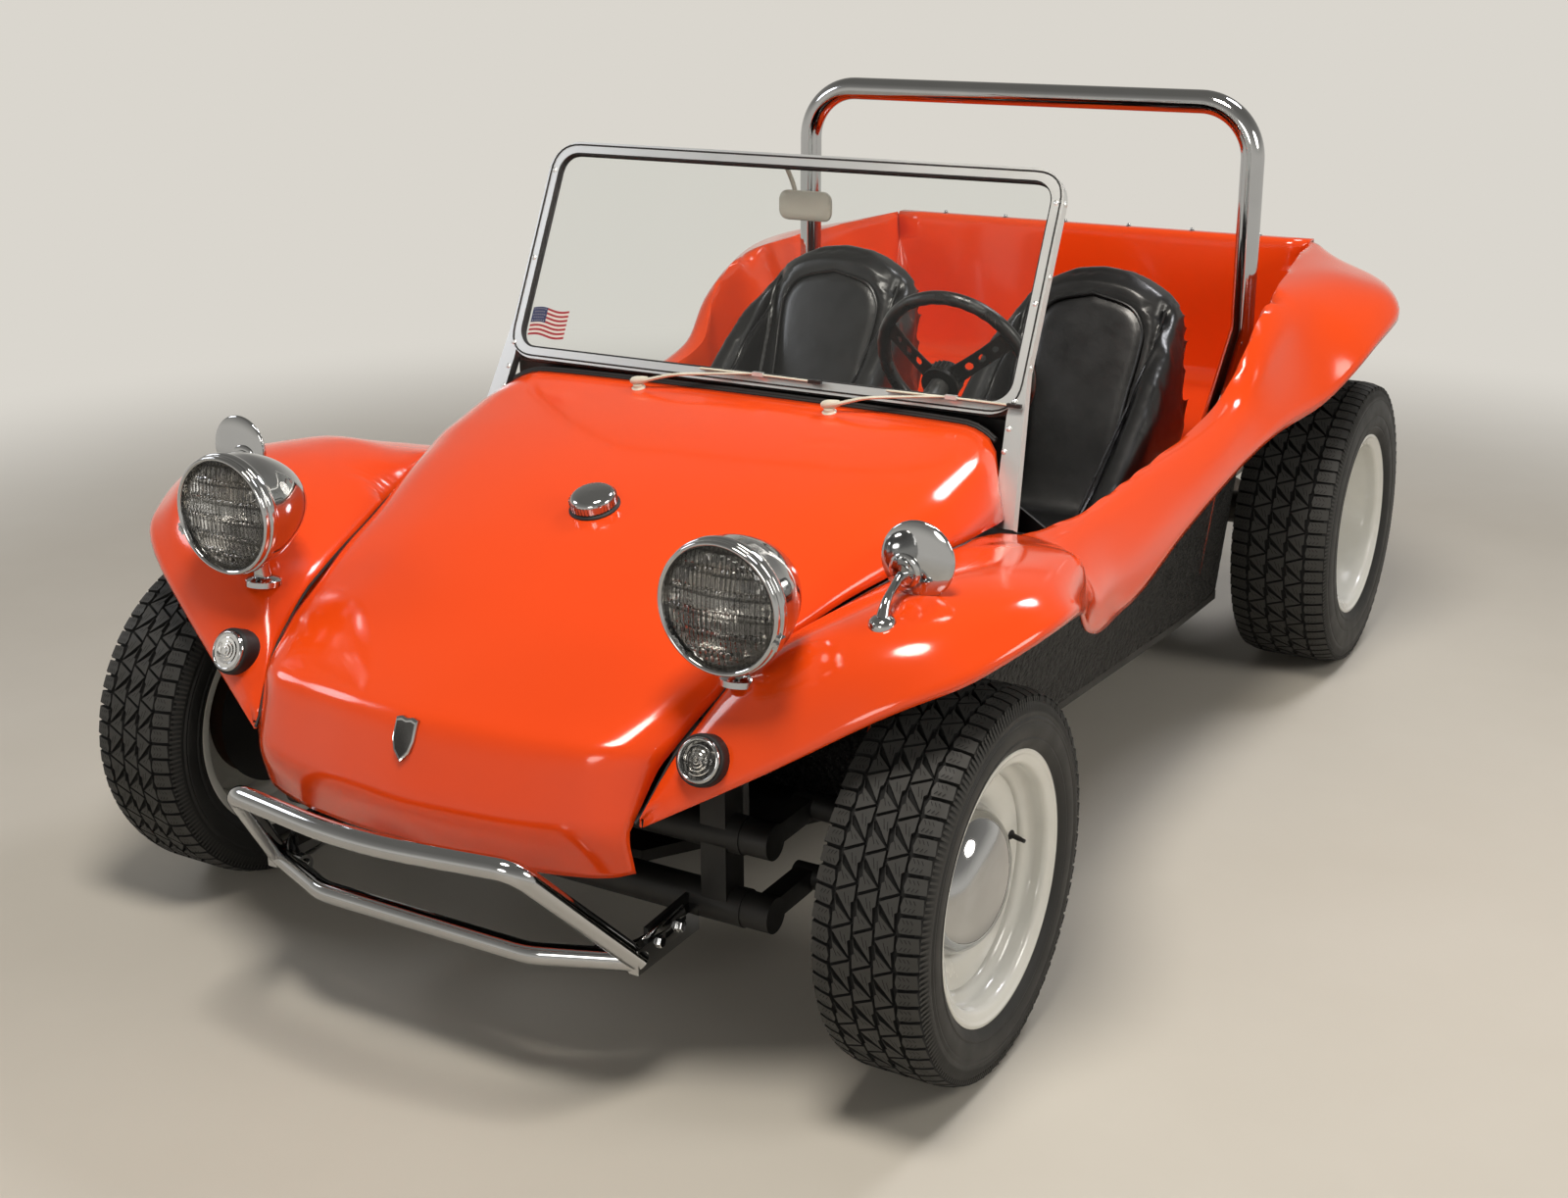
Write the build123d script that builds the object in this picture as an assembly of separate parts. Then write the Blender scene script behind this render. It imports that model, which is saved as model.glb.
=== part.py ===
from build123d import *
import math
import os

# A rear-engined dune buggy: a one-piece moulded body on a shortened floor pan.
# Millimetres. +Z is up, the front faces -Y, and the car's left side is +X.
# Places are written from the front axle, on the ground, at the middle of the car.
# The origin of the finished part is under the middle of its length.

# Chassis
WHEELBASE = 2032.0
FRONT_OVERHANG = 540.0
REAR_OVERHANG = 690.0
REAR_AXLE = WHEELBASE
MIDDLE = (WHEELBASE + REAR_OVERHANG - FRONT_OVERHANG) / 2
PAN_BOTTOM = 226.0
PAN_THICK = 20.0
PAN_TOP = PAN_BOTTOM + PAN_THICK
PAN_NOSE = -70.0
PAN_NOSE_HALF = 190.0
CLAMP_PLATE_X = 150.0
TUNNEL_WIDTH = 150.0
TUNNEL_HEIGHT = 130.0
FIT = 0.3
RUNNING_GAP = 0.1

# Wheels
RIM_RADIUS = 208.0
FRONT_TYRE_RADIUS = 298.0
FRONT_TYRE_WIDTH = 178.0
FRONT_TYRE_X = 704.0
REAR_TYRE_RADIUS = 327.0
REAR_TYRE_WIDTH = 220.0
REAR_TYRE_X = 682.0
RIM_WALL = 4.0
DISC_THICK = 5.0
DRUM_RADIUS = 124.0
DRUM_DEPTH = 42.0
CAP_RADIUS = 115.0
CAP_DEPTH = 66.0
WELL_WIDTH = 44.0
BOLT_CIRCLE_RADIUS = 102.5
BOLT_HEAD = 8.5
HUB_BORE = 15.0

# Steering
KINGPIN_X = 545.0
KINGPIN_RADIUS = 22.0
DISC_X = 706.0
STEER_ARM = 110.0
STEERING_WHEEL_RADIUS = 155.0
STEERING_GRIP = 12.0
BOSS_END = 61.0
STEERING_HUB = (320.0, 795.0, 887.0)
COLUMN_RISE = 24.0
COLUMN_RADIUS = 19.0
GEAR_BOX_Y = -59.0
GEAR_BOX_HALF = 40.0
COLUMN_LENGTH = (STEERING_HUB[1] - GEAR_BOX_Y) / math.cos(math.radians(COLUMN_RISE))

# Body moulding
WALL = 6.0
SEAM_GAP = 4.0
BENCH_FRONT = REAR_AXLE - 522.0
BENCH_TOP = 566.0
REAR_WALL_FOOT = REAR_AXLE + 230.0
REAR_WALL_TOP = REAR_AXLE + 255.0
REAR_LIP = 50.0
REAR_SKIRT = 70.0
TAIL = REAR_AXLE + 258.0
FIREWALL = 262.0
DOORWAY_REAR = REAR_AXLE - 632.0
WHEELHOUSE_FRONT = 160.0
WHEELHOUSE_REAR = REAR_AXLE - 392.0
DECK_START = REAR_AXLE - 327.0

# Front beam and bumper
BEAM_Y = -140.0
BEAM_LOW = 238.0
BEAM_HIGH = 358.0
BEAM_RADIUS = 30.0
BEAM_HALF = 430.0
TOWER_X = BEAM_HALF - 45.0
ARM_BOSS = 48.0
TOWER_TOP = 540.0
BUMPER_TUBE = 17.0
BUMPER_END = (352.0, -318.0, 215.0)
BUMPER_TOP = 409.0
STAY_TUBE = 13.0

# Windscreen
SCREEN_HALF = 541.0
SCREEN_BASE_Y = 582.0
SCREEN_BASE_Z = 854.0
SCREEN_TOP_Y = 774.0
SCREEN_TOP_Z = 1249.0
SCREEN_CORNER = 62.0
SCREEN_FOOT_X = 554.0
SCREEN_FOOT_Z = 683.0
FRAME_WIDE = 22.0
FRAME_DEEP = 20.0
GLASS = 6.0

# Roll bar
ROLL_Y = REAR_AXLE - 229.0
ROLL_TOP = 1288.0
ROLL_HALF = 544.0
ROLL_FOOT_HALF = 488.0
ROLL_BEND_Z = 800.0
ROLL_CORNER = 120.0
ROLL_TUBE = 25.5

TANK_HALF = 255.0
TANK_FRONT = 20.0
TANK_LOW = 470.0
TANK_HIGH = 655.0
CAP_Y = 99.0
WIPER_X = 201.0
WIPER_Y = 531.0

# Lamps
LAMP = (463.0, -271.0, 759.0)
LAMP_RADIUS = 98.0
LAMP_DEPTH = 165.0
LENS_RADIUS = 88.0
INDICATOR = (452.0, -292.0, 560.0)
INDICATOR_RADIUS = 31.0
TAIL_LAMP_RADIUS = 38.0
MIRROR = (652.0, -30.0, 806.0)
TAIL_LAMP_Y = REAR_AXLE + 180.0

# Seats
SEAT_X = 312.0
SEAT_HALF = 214.0
SEAT_FRONT = REAR_AXLE - 1142.0
SEAT_BACK_TOP = (SEAT_FRONT + 670.0, 970.0)
SEAT_RAIL = 26.0
SEAT_RAIL_HALF_GAP = 150.0
BOLSTER = 62.0

# Drive train
CRANK_Z = 352.0
CASE_HALF = 110.0
PULLEY_GAP = 22.0
PULLEY_WIDTH = 18.0
CRANK_PULLEY = 74.0
DYNAMO_PULLEY = 56.0
DYNAMO_RISE = 190.0
CARBURETTOR_X = 94.0
CLEANER_RADIUS = 64.0
CASE_TOP = 120.0
ENGINE_FRONT = REAR_AXLE + 200.0
REAR_DISC_X = 618.0
ENGINE_LENGTH = 330.0
SPRING_LENGTH = 395.0
TORSION_RADIUS = 42.0
TORSION_Z = PAN_TOP + TORSION_RADIUS + FIT
FORK_HALF = 175.0
FORK_Z = 255.0
FORK_RADIUS = 26.0
CRADLE_LOW = 180.0
FRAME_PLATE_X = 448.0
SHROUD_DEPTH = 110.0
SHROUD_HALF = 330.0
AXLE_TUBE = 38.0
BELL_RADIUS = 142.0
BELL_RISE = 20.0
HEAD_LOW = 276.0
PORT_X = 320.0
SILENCER_Z = 220.0
SILENCER_RADIUS = 50.0
SILENCER_HALF = 245.0

LEFT, RIGHT = 1, -1
SIDES = {"left": LEFT, "right": RIGHT}

# The side moulding, one row for each cross-section from the nose to the tail.
# y | inner edge x, z | shoulder x, z | crown x, z | flank x, z | outer edge x, z | skirt
SIDE_ROWS = [
    (-330, 366, 452, 374, 455, 383, 456, 392, 455, 400, 452, 12),
    (-260, 399, 538, 432, 556, 475, 566, 518, 563, 558, 552, 12),
    (-203, 410, 576, 454, 630, 540, 662, 625, 664, 700, 640, 12),
    (-130, 420, 620, 480, 668, 590, 716, 705, 716, 785, 675, 12),
    (50, 469, 660, 545, 706, 670, 752, 790, 748, 846, 716, 12),
    (270, 536, 700, 600, 722, 700, 740, 785, 727, 806, 665, 12),
    (354, 560, 709, 620, 712, 700, 716, 768, 700, 786, 640, 12),
    (455, 562, 692, 625, 694, 690, 680, 735, 620, 750, 560, 12),
    (524, 572, 672, 630, 658, 678, 620, 712, 575, 723, 524, 12),
    (713, 601, 667, 632, 655, 665, 615, 688, 574, 700, 518, 12),
    (1000, 608, 680, 640, 668, 670, 635, 688, 605, 699, 570, 12),
    (REAR_AXLE - 732, 614, 700, 650, 698, 680, 680, 696, 655, 707, 627, 12),
    (REAR_AXLE - 595, 622, 736, 662, 730, 682, 710, 698, 685, 717, 651, 12),
    (REAR_AXLE - 518, 646, 838, 680, 800, 694, 750, 709, 705, 728, 664, 12),
    (REAR_AXLE - 369, 640, 906, 685, 872, 712, 812, 738, 745, 764, 687, 12),
    (REAR_AXLE - 232, 624, 917, 689, 898, 742, 862, 795, 818, 827, 780, 12),
    (REAR_AXLE - 63, 595, 923, 682, 912, 750, 892, 812, 864, 843, 834, 18),
    (REAR_AXLE + 98, 568, 929, 645, 915, 700, 900, 745, 886, 772, 872, 80),
    (TAIL, 549, 932, 575, 922, 592, 905, 606, 893, 618, 882, 96),
]
# The foot of the moulding's inner wall: y, x, z
FOOT_ROWS = [
    (-330, 366, 436), (WHEELHOUSE_FRONT, 500, 640), (FIREWALL, 404, PAN_TOP),
    (400, 452, PAN_TOP), (600, 494, PAN_TOP), (854, 524, PAN_TOP), (DOORWAY_REAR, 565, PAN_TOP),
    (WHEELHOUSE_REAR, 572, PAN_TOP), (DECK_START, 548, BENCH_TOP - WALL),
    (TAIL, 500, BENCH_TOP - WALL),
]
# The bonnet's profiles fan out from a pivot ahead of the nose. Each row is one profile:
# share of the seam's slope | under-lip y, z | lip y, z | crease y, z | heights over BONNET_Y
BONNET_PIVOT = 1525.0
BONNET_SLOPE = 0.30
BONNET_Y = (-205, -100, 30, 200, 380)
BONNET_ROWS = [
    (0.00, -385, 345, -428, 420, -385, 549, 626, 673, 724, 777, 817, 600, 848),
    (0.30, -382, 345, -418, 420, -377, 547, 625, 671, 722, 775, 815, 600, 848),
    (0.60, -370, 345, -400, 419, -362, 544, 620, 664, 714, 767, 808, 600, 848),
    (0.82, -352, 347, -382, 420, -352, 545, 610, 650, 698, 751, 794, 600, 848),
    (0.93, -340, 352, -362, 422, -325, 536, 592, 634, 674, 724, 765, 590, 830),
    (1.00, -325, 358, -343, 424, -292, 512, 574, 620, 654, 687, 705, 560, 700),
    (1.10, -300, 362, -318, 424, -262, 500, 560, 604, 638, 668, 690, 560, 640),
]
# The seam in plan, from the nose back to the windscreen's foot: x, y
SEAM_ROWS = [(355, -345), (378, -285), (404, -190), (414, -129), (450, -2), (470, 81),
             (499, 174), (527, 262), (556, 354), (560, 455), (553, 508)]


def steady_slopes(xs, ys):
    """Slopes for a smooth curve through the points that never overshoots between them."""
    steps = [(b - a) / (v - u) for a, b, u, v in zip(ys, ys[1:], xs, xs[1:])]
    inner = [0 if a * b <= 0 else 2 * a * b / (a + b) for a, b in zip(steps, steps[1:])]
    return [steps[0]] + inner + [steps[-1]]


def smooth(rows, y):
    """The row at y, by a smooth curve through each column of the table."""
    xs = [row[0] for row in rows]
    k = max(i for i in range(len(xs) - 1) if xs[i] <= y or i == 0)
    width = xs[k + 1] - xs[k]
    t = (y - xs[k]) / width
    out = []
    for column in zip(*[row[1:] for row in rows]):
        slope = steady_slopes(xs, column)
        rise = column[k + 1] - column[k]
        a = slope[k] * width - rise
        b = rise - slope[k + 1] * width
        out.append((1 - t) * column[k] + t * column[k + 1] + t * (1 - t) * ((1 - t) * a + t * b))
    return out


def straight(rows, y):
    """The row at y, by straight lines between the rows."""
    k = max(i for i in range(len(rows) - 1) if rows[i][0] <= y or i == 0)
    t = (y - rows[k][0]) / (rows[k + 1][0] - rows[k][0])
    return [a + (b - a) * t for a, b in zip(rows[k][1:], rows[k + 1][1:])]


def inward(points, wall):
    """The open outline in 2D moved by the wall to its right-hand side."""
    moved = []
    for i, (x, z) in enumerate(points):
        normals = []
        for a, b in ((i - 1, i), (i, i + 1)):
            if a >= 0 and b < len(points):
                dx = points[b][0] - points[a][0]
                dz = points[b][1] - points[a][1]
                size = math.hypot(dx, dz)
                normals.append((dz / size, -dx / size))
        nx = sum(n[0] for n in normals) / len(normals)
        nz = sum(n[1] for n in normals) / len(normals)
        grow = wall / max(nx * nx + nz * nz, 0.35)
        moved.append((x + nx * grow, z + nz * grow))
    return moved


def polygon(points):
    """A flat face from its corners."""
    return Face(Wire.make_polygon([Vector(*p) for p in points], close=True))


def ruled(sections):
    """A solid with straight sides between closed outlines."""
    return Solid.make_loft([Wire.make_polygon([Vector(*p) for p in s], close=True) for s in sections], True)


def box(x0, x1, y0, y1, z0, z1):
    return Pos((x0 + x1) / 2, (y0 + y1) / 2, (z0 + z1) / 2) * Box(x1 - x0, y1 - y0, z1 - z0)


def rod(start, end, radius):
    """A round bar between two points."""
    a, b = Vector(*start), Vector(*end)
    return Solid.make_cylinder(radius, (b - a).length, Plane(origin=a, z_dir=b - a))


def tube_path(points, radii, radius, wall=0):
    """A round tube along straight runs joined by arcs."""
    path = FilletPolyline(*[Vector(*p) for p in points], radius=radii)
    start = Plane(origin=path @ 0, z_dir=path % 0)
    section = start * Circle(radius)
    if wall:
        section -= start * Circle(radius - wall)
    return sweep(section, path=path)


def turned(profile, origin, axis):
    """A body turned about an axis: the profile is radius and place along the axis."""
    face = make_face(Polyline(*[(r, 0, a) for r, a in profile], close=True))
    body = revolve(face, Axis.Z)
    return Plane(origin=Vector(*origin), z_dir=Vector(*axis)) * body


def mirrored(shape):
    return mirror(shape, Plane.YZ)


def for_side(shape, side):
    return shape if side == LEFT else mirrored(shape)


def save(node, *shapes):
    """Move the pieces from the axle's frame to the part's own and write them as one node."""
    solids = []
    for shape in shapes:
        solids += list(shape.solids())
    placed = [Pos(0, -MIDDLE, 0) * s for s in solids]
    export_step(placed[0] if len(placed) == 1 else Compound(children=placed), f"parts/{node}.step")


# Body

def side_section(y):
    """The inverted J of the side moulding at one station: inner wall, rim, flank and skirt."""
    row = smooth(SIDE_ROWS, y)
    points = [tuple(straight(FOOT_ROWS, y))] + [tuple(row[i:i + 2]) for i in range(0, 10, 2)]
    edge_x, edge_z = points[-1]
    return points + [(edge_x - 2, edge_z - row[10])]


def side_stations():
    """Every row of the table and the foot, with one station halfway between far ones."""
    ys = sorted({row[0] for row in SIDE_ROWS} | {row[0] for row in FOOT_ROWS})
    out = []
    for a, b in zip(ys, ys[1:]):
        count = max(1, round((b - a) / 60))
        out += [a + (b - a) * i / count for i in range(count)]
    return out + [ys[-1]]


def body_side():
    sections = []
    for y in side_stations():
        outer = side_section(y)
        inner = inward(outer, WALL)
        sections.append([(x, y, z) for x, z in outer + inner[::-1]])
    return ruled(sections)


def wall_inside(y, z):
    """How far from the middle the cabin face of the side wall is, between two stations."""
    ys = side_stations()
    k = max(i for i in range(len(ys) - 1) if ys[i] <= y or i == 0)
    t = (y - ys[k]) / (ys[k + 1] - ys[k])
    ends = [side_section(v)[:2] for v in ys[k:k + 2]]
    (x0, z0), (x1, z1) = [[a + (b - a) * t for a, b in zip(p, q)] for p, q in zip(*ends)]
    return x0 + (x1 - x0) * (z - z0) / (z1 - z0) - FIT


def outside(piece, panel):
    """The part of a piece that stands proud of a body panel: its foot takes the panel's shape."""
    return max((piece - panel).solids(), key=lambda solid: solid.volume)


def bonnet_profile(row, slope):
    under, lip, crease = row[1:3], row[3:5], row[5:7]
    heights = list(zip(BONNET_Y, row[7:12]))
    points = [under, lip, crease] + heights + [row[12:14]]
    run = math.hypot(1, slope)
    outline = [((y + BONNET_PIVOT) * run, z) for y, z in points]
    closed = outline + inward(outline, WALL)[::-1]
    return [(r * slope / run, r / run - BONNET_PIVOT, z) for r, z in closed]


def bonnet():
    rows = [(-row[0], row) for row in BONNET_ROWS[:0:-1]] + [(row[0], row) for row in BONNET_ROWS]
    shares = [share for share, _ in rows]
    table = [(share,) + tuple(row[1:]) for share, row in rows]
    sections = []
    for a, b in zip(shares, shares[1:]):
        for i in range(2):
            share = a + (b - a) * i / 2
            sections.append(bonnet_profile((share,) + tuple(smooth(table, share)), share * BONNET_SLOPE))
    sections.append(bonnet_profile(table[-1], shares[-1] * BONNET_SLOPE))
    sheet = ruled(sections)
    seam = [(x - SEAM_GAP, y) for x, y in SEAM_ROWS]
    plan = [(seam[0][0], -FRONT_OVERHANG)] + seam + [(541, 584), (541, 620)]
    outline = [(x, y, 200) for x, y in plan] + [(-x, y, 200) for x, y in plan[::-1]]
    trimmed = sheet & extrude(polygon(outline), amount=800, dir=(0, 0, 1))
    behind = screen_plane() * Pos(0, 0, FRAME_DEEP / 2 + FIT - 500) * Box(2000, 2000, 1000)
    return max((trimmed - behind).solids(), key=lambda solid: solid.volume)


def bonnet_height(x, y):
    """The bonnet's top surface above a point in plan."""
    table = [(-row[0],) + row[1:] for row in BONNET_ROWS[:0:-1]] + list(BONNET_ROWS)
    row = smooth(table, abs(x) / (y + BONNET_PIVOT) / BONNET_SLOPE)
    return straight(list(zip(BONNET_Y, row[6:11])) + [(row[11], row[12])], y)[0]


def firewall():
    """The front bulkhead between the side walls, with a hole for the column."""
    def outline(y):
        top = side_section(y)[1][1] - 30
        low = PAN_TOP
        return [(-wall_inside(y, low), y, low), (wall_inside(y, low), y, low),
                (wall_inside(y, top), y, top), (320, y, top + 42), (-320, y, top + 42),
                (-wall_inside(y, top), y, top)]
    panel = ruled([outline(FIREWALL), outline(FIREWALL + WALL)])
    return panel - column_line(COLUMN_RADIUS + 8)


def rear_bench():
    """The bench behind the seats: a front board, a shelf and a rear wall with its lip."""
    ys = [y for y in side_stations() if BENCH_FRONT < y < REAR_WALL_FOOT]
    shelf_low = BENCH_TOP - WALL

    def strip(y, low, high):
        return [(-wall_inside(y, low), y, low), (wall_inside(y, low), y, low),
                (wall_inside(y, high), y, high), (-wall_inside(y, high), y, high)]
    shelf = ruled([strip(y, shelf_low, BENCH_TOP) for y in [BENCH_FRONT] + ys + [REAR_WALL_FOOT + WALL]])
    board = ruled([strip(BENCH_FRONT, PAN_TOP, BENCH_TOP), strip(BENCH_FRONT + WALL, PAN_TOP, BENCH_TOP)])
    low_x = wall_inside(REAR_WALL_FOOT + WALL, shelf_low)
    top_z = smooth(SIDE_ROWS, REAR_WALL_TOP)[1]
    top_x = wall_inside(REAR_WALL_TOP + WALL, top_z - WALL)
    lean = REAR_WALL_TOP - REAR_WALL_FOOT
    corners = [(low_x, 0, shelf_low), (top_x, lean, top_z), (-top_x, lean, top_z), (-low_x, 0, shelf_low)]
    wall = ruled([[(x, y + dy, z) for x, dy, z in corners] for y in (REAR_WALL_FOOT, REAR_WALL_FOOT + WALL)])
    lip = box(-top_x, top_x, REAR_WALL_TOP, REAR_WALL_TOP + REAR_LIP, top_z - WALL, top_z)
    tail = REAR_WALL_TOP + REAR_LIP
    skirt = box(-top_x, top_x, tail - WALL, tail, top_z - REAR_SKIRT, top_z)
    return board + shelf + wall + lip + skirt


def dashboard():
    """The instrument board under the screen, with its padded top roll and its dials."""
    y0, y1 = 600, 606
    half = 528
    roll = 12
    shape = [(wall_inside(y0, 650), 650), (wall_inside(y0, 664), 664), (half, 700), (half, SCREEN_BASE_Z)]
    shape += [(-x, z) for x, z in shape[::-1]]
    board = ruled([[(x, y, z) for x, z in shape] for y in (y0, y1)])
    line = screen_plane() * Pos(0, FRAME_WIDE / 2, -FRAME_DEEP / 2 - FIT - roll)
    board += rod((-half, line.position.Y, line.position.Z), (half, line.position.Y, line.position.Z), roll)
    board = board - column_line(COLUMN_RADIUS + 8)
    for dx, z, radius in ((115, 774, 52), (-105, 778, 30), (-180, 778, 30)):
        x = STEERING_HUB[0] + dx
        board += rod((x, y0 - 30, z), (x, y1 + 8, z), radius)
    return board


# Floor pan and running gear

def floor_pan():
    """The flat pan, as wide as the side walls' feet, with its centre tunnel."""
    ys = [row[0] for row in FOOT_ROWS if FIREWALL <= row[0] <= WHEELHOUSE_REAR]
    half = [straight(FOOT_ROWS, y)[0] for y in ys]
    edge = [(x, y, PAN_BOTTOM) for x, y in zip(half, ys)]
    outline = edge + [(-x, y, z) for x, y, z in edge[::-1]]
    pan = extrude(polygon(outline), amount=PAN_THICK, dir=(0, 0, 1))
    nose = [(-half[0], FIREWALL), (half[0], FIREWALL), (PAN_NOSE_HALF, PAN_NOSE), (-PAN_NOSE_HALF, PAN_NOSE)]
    pan += extrude(polygon([(x, y, PAN_BOTTOM) for x, y in nose]), amount=PAN_THICK, dir=(0, 0, 1))
    rails = [side * SEAT_X + dx for side in (LEFT, RIGHT) for dx in (-SEAT_RAIL_HALF_GAP, SEAT_RAIL_HALF_GAP)]
    for x in rails:
        pan += box(x - 14, x + 14, SEAT_FRONT + 60, SEAT_FRONT + 460, PAN_TOP, PAN_TOP + SEAT_RAIL)
    tunnel = box(-TUNNEL_WIDTH / 2, TUNNEL_WIDTH / 2, FIREWALL + WALL + FIT, BENCH_FRONT - FIT,
                 PAN_TOP, PAN_TOP + TUNNEL_HEIGHT)
    tunnel = fillet(tunnel.edges().filter_by(Axis.Y).sort_by(Axis.Z)[-2:], 45)
    return pan + tunnel


def front_beam():
    """Two torsion tubes with the shock towers and the clamp plates to the pan."""
    beam = rod((-BEAM_HALF, BEAM_Y, BEAM_LOW), (BEAM_HALF, BEAM_Y, BEAM_LOW), BEAM_RADIUS)
    beam += rod((-BEAM_HALF, BEAM_Y, BEAM_HIGH), (BEAM_HALF, BEAM_Y, BEAM_HIGH), BEAM_RADIUS)
    for side in (LEFT, RIGHT):
        x = side * TOWER_X
        beam += box(x - 22, x + 22, BEAM_Y - 26, BEAM_Y + 26, BEAM_LOW, TOWER_TOP)
        plate = side * CLAMP_PLATE_X
        beam += box(plate - 6, plate + 6, BEAM_Y, PAN_NOSE - FIT, BEAM_LOW - 12, BEAM_HIGH + 10)
    return beam


def trailing_arms():
    """Four arms from the torsion tubes back to the kingpin's link pins."""
    arms = []
    for side in (LEFT, RIGHT):
        for z in (BEAM_LOW, BEAM_HIGH):
            x0, x1 = side * (BEAM_HALF + FIT), side * (BEAM_HALF + ARM_BOSS)
            boss = rod((x0, BEAM_Y, z), (x1, BEAM_Y, z), BEAM_RADIUS - 2)
            arm = box(min(x0, x1) + 8, max(x0, x1) - 8, BEAM_Y, -12, z - 17, z + 17)
            eye = rod((side * (BEAM_HALF + 4), 0, z), (side * (KINGPIN_X - KINGPIN_RADIUS - FIT), 0, z), 20)
            arms.append(boss + arm + eye)
    return arms


def knuckle(side):
    """Kingpin carrier, stub axle, backing plate and steering arm, which swivel together."""
    def at(x):
        return side * x
    x_plate = DISC_X - DRUM_DEPTH - 8
    kingpin = rod((at(KINGPIN_X), 0, BEAM_LOW - 34), (at(KINGPIN_X), 0, BEAM_HIGH + 34), KINGPIN_RADIUS)
    stub = rod((at(KINGPIN_X), 0, FRONT_TYRE_RADIUS), (at(DISC_X + 26), 0, FRONT_TYRE_RADIUS), HUB_BORE)
    flange = rod((at(KINGPIN_X), 0, FRONT_TYRE_RADIUS), (at(x_plate), 0, FRONT_TYRE_RADIUS), 34)
    plate = rod((at(x_plate - 5), 0, FRONT_TYRE_RADIUS), (at(x_plate), 0, FRONT_TYRE_RADIUS), DRUM_RADIUS + 8)
    arm = box(min(at(KINGPIN_X - 14), at(KINGPIN_X + 14)), max(at(KINGPIN_X - 14), at(KINGPIN_X + 14)),
              0, STEER_ARM, FRONT_TYRE_RADIUS - 34, FRONT_TYRE_RADIUS - 12)
    return kingpin + stub + flange + plate + arm


def wheel(x, z, y, side, width, disc_x, bore):
    """A deep-dish steel wheel: a dropped rim, a centre disc and the brake drum bolted behind it."""
    half = width / 2 - 10
    out, back = x + half - disc_x, x - half - disc_x
    r = RIM_RADIUS
    seat, well = r - 18, r - 40
    well_out = min(62, out - 40)
    well_in = well_out - WELL_WIDTH
    outer = [(r, out), (seat, out - 6), (seat - 3, out - 34), (well, well_out), (well, well_in),
             (seat - 3, well_in - 10), (seat, back + 6), (r, back)]
    inner = [(r, back), (seat, back + 2), (seat - 3, well_in - 8), (well, well_in + 2), (well, well_out + 2),
             (seat - 3, out - 32), (seat, out - 4), (r, out)]
    inner = [(radius - RIM_WALL, along) for radius, along in inner]
    rim = turned(outer + inner, (side * disc_x, y, z), (side, 0, 0))
    edge = well - RIM_WALL / 2
    disc = turned([(bore, 0), (112, 0), (128, 16), (edge, 24), (edge, 24 + DISC_THICK),
                   (126, 16 + DISC_THICK), (110, DISC_THICK), (bore, DISC_THICK)],
                  (side * disc_x, y, z), (side, 0, 0))
    wall = DRUM_RADIUS - 12
    drum = [(bore, 0), (DRUM_RADIUS - 20, 0), (DRUM_RADIUS, -10), (DRUM_RADIUS, -DRUM_DEPTH),
            (wall, -DRUM_DEPTH), (wall, -8), (44, -8), (44, 8 - DRUM_DEPTH), (bore, 8 - DRUM_DEPTH)]
    disc += turned(drum, (side * disc_x, y, z), (side, 0, 0))
    face = disc_x + DISC_THICK
    for i in range(5):
        angle = math.radians(90 + 72 * i)
        by, bz = y + BOLT_CIRCLE_RADIUS * math.cos(angle), z + BOLT_CIRCLE_RADIUS * math.sin(angle)
        disc += rod((side * (face - 1), by, bz), (side * (face + 7), by, bz), BOLT_HEAD)
    return rim + disc


def hubcap(disc_x, y, z, side):
    """The domed cap that clips over the wheel's centre."""
    base = DISC_THICK + FIT
    top = base + CAP_DEPTH
    r = CAP_RADIUS
    dome = [(0, top), (45, top - 4), (80, top - 15), (r - 13, 38), (r + 2, base + 7)]
    under = [(r - 2, base + 3), (r - 4, 16), (r - 18, 37), (76, top - 19), (43, top - 8), (0, top - 4)]
    return turned(dome + under, (side * disc_x, y, z), (side, 0, 0))


def tyre(x, y, radius, width, side):
    """A radial tyre seated on the rim's two bead seats."""
    half = width / 2
    seat = RIM_RADIUS - 18 + FIT
    bead = half - 16
    outer = [(seat, bead), (RIM_RADIUS + FIT, half - 10), (RIM_RADIUS + 22, half), (radius - 34, half),
             (radius - 8, half - 9), (radius, half - 26)]
    inner = [(radius - 14, half - 40), (radius - 22, half - 20), (RIM_RADIUS + 16, bead - 22),
             (seat, bead - 26)]
    loop = outer + [(r, -a) for r, a in outer[::-1]] + [(r, -a) for r, a in inner[::-1]] + inner
    return turned(loop, (side * x, y, radius), (side, 0, 0))


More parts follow.
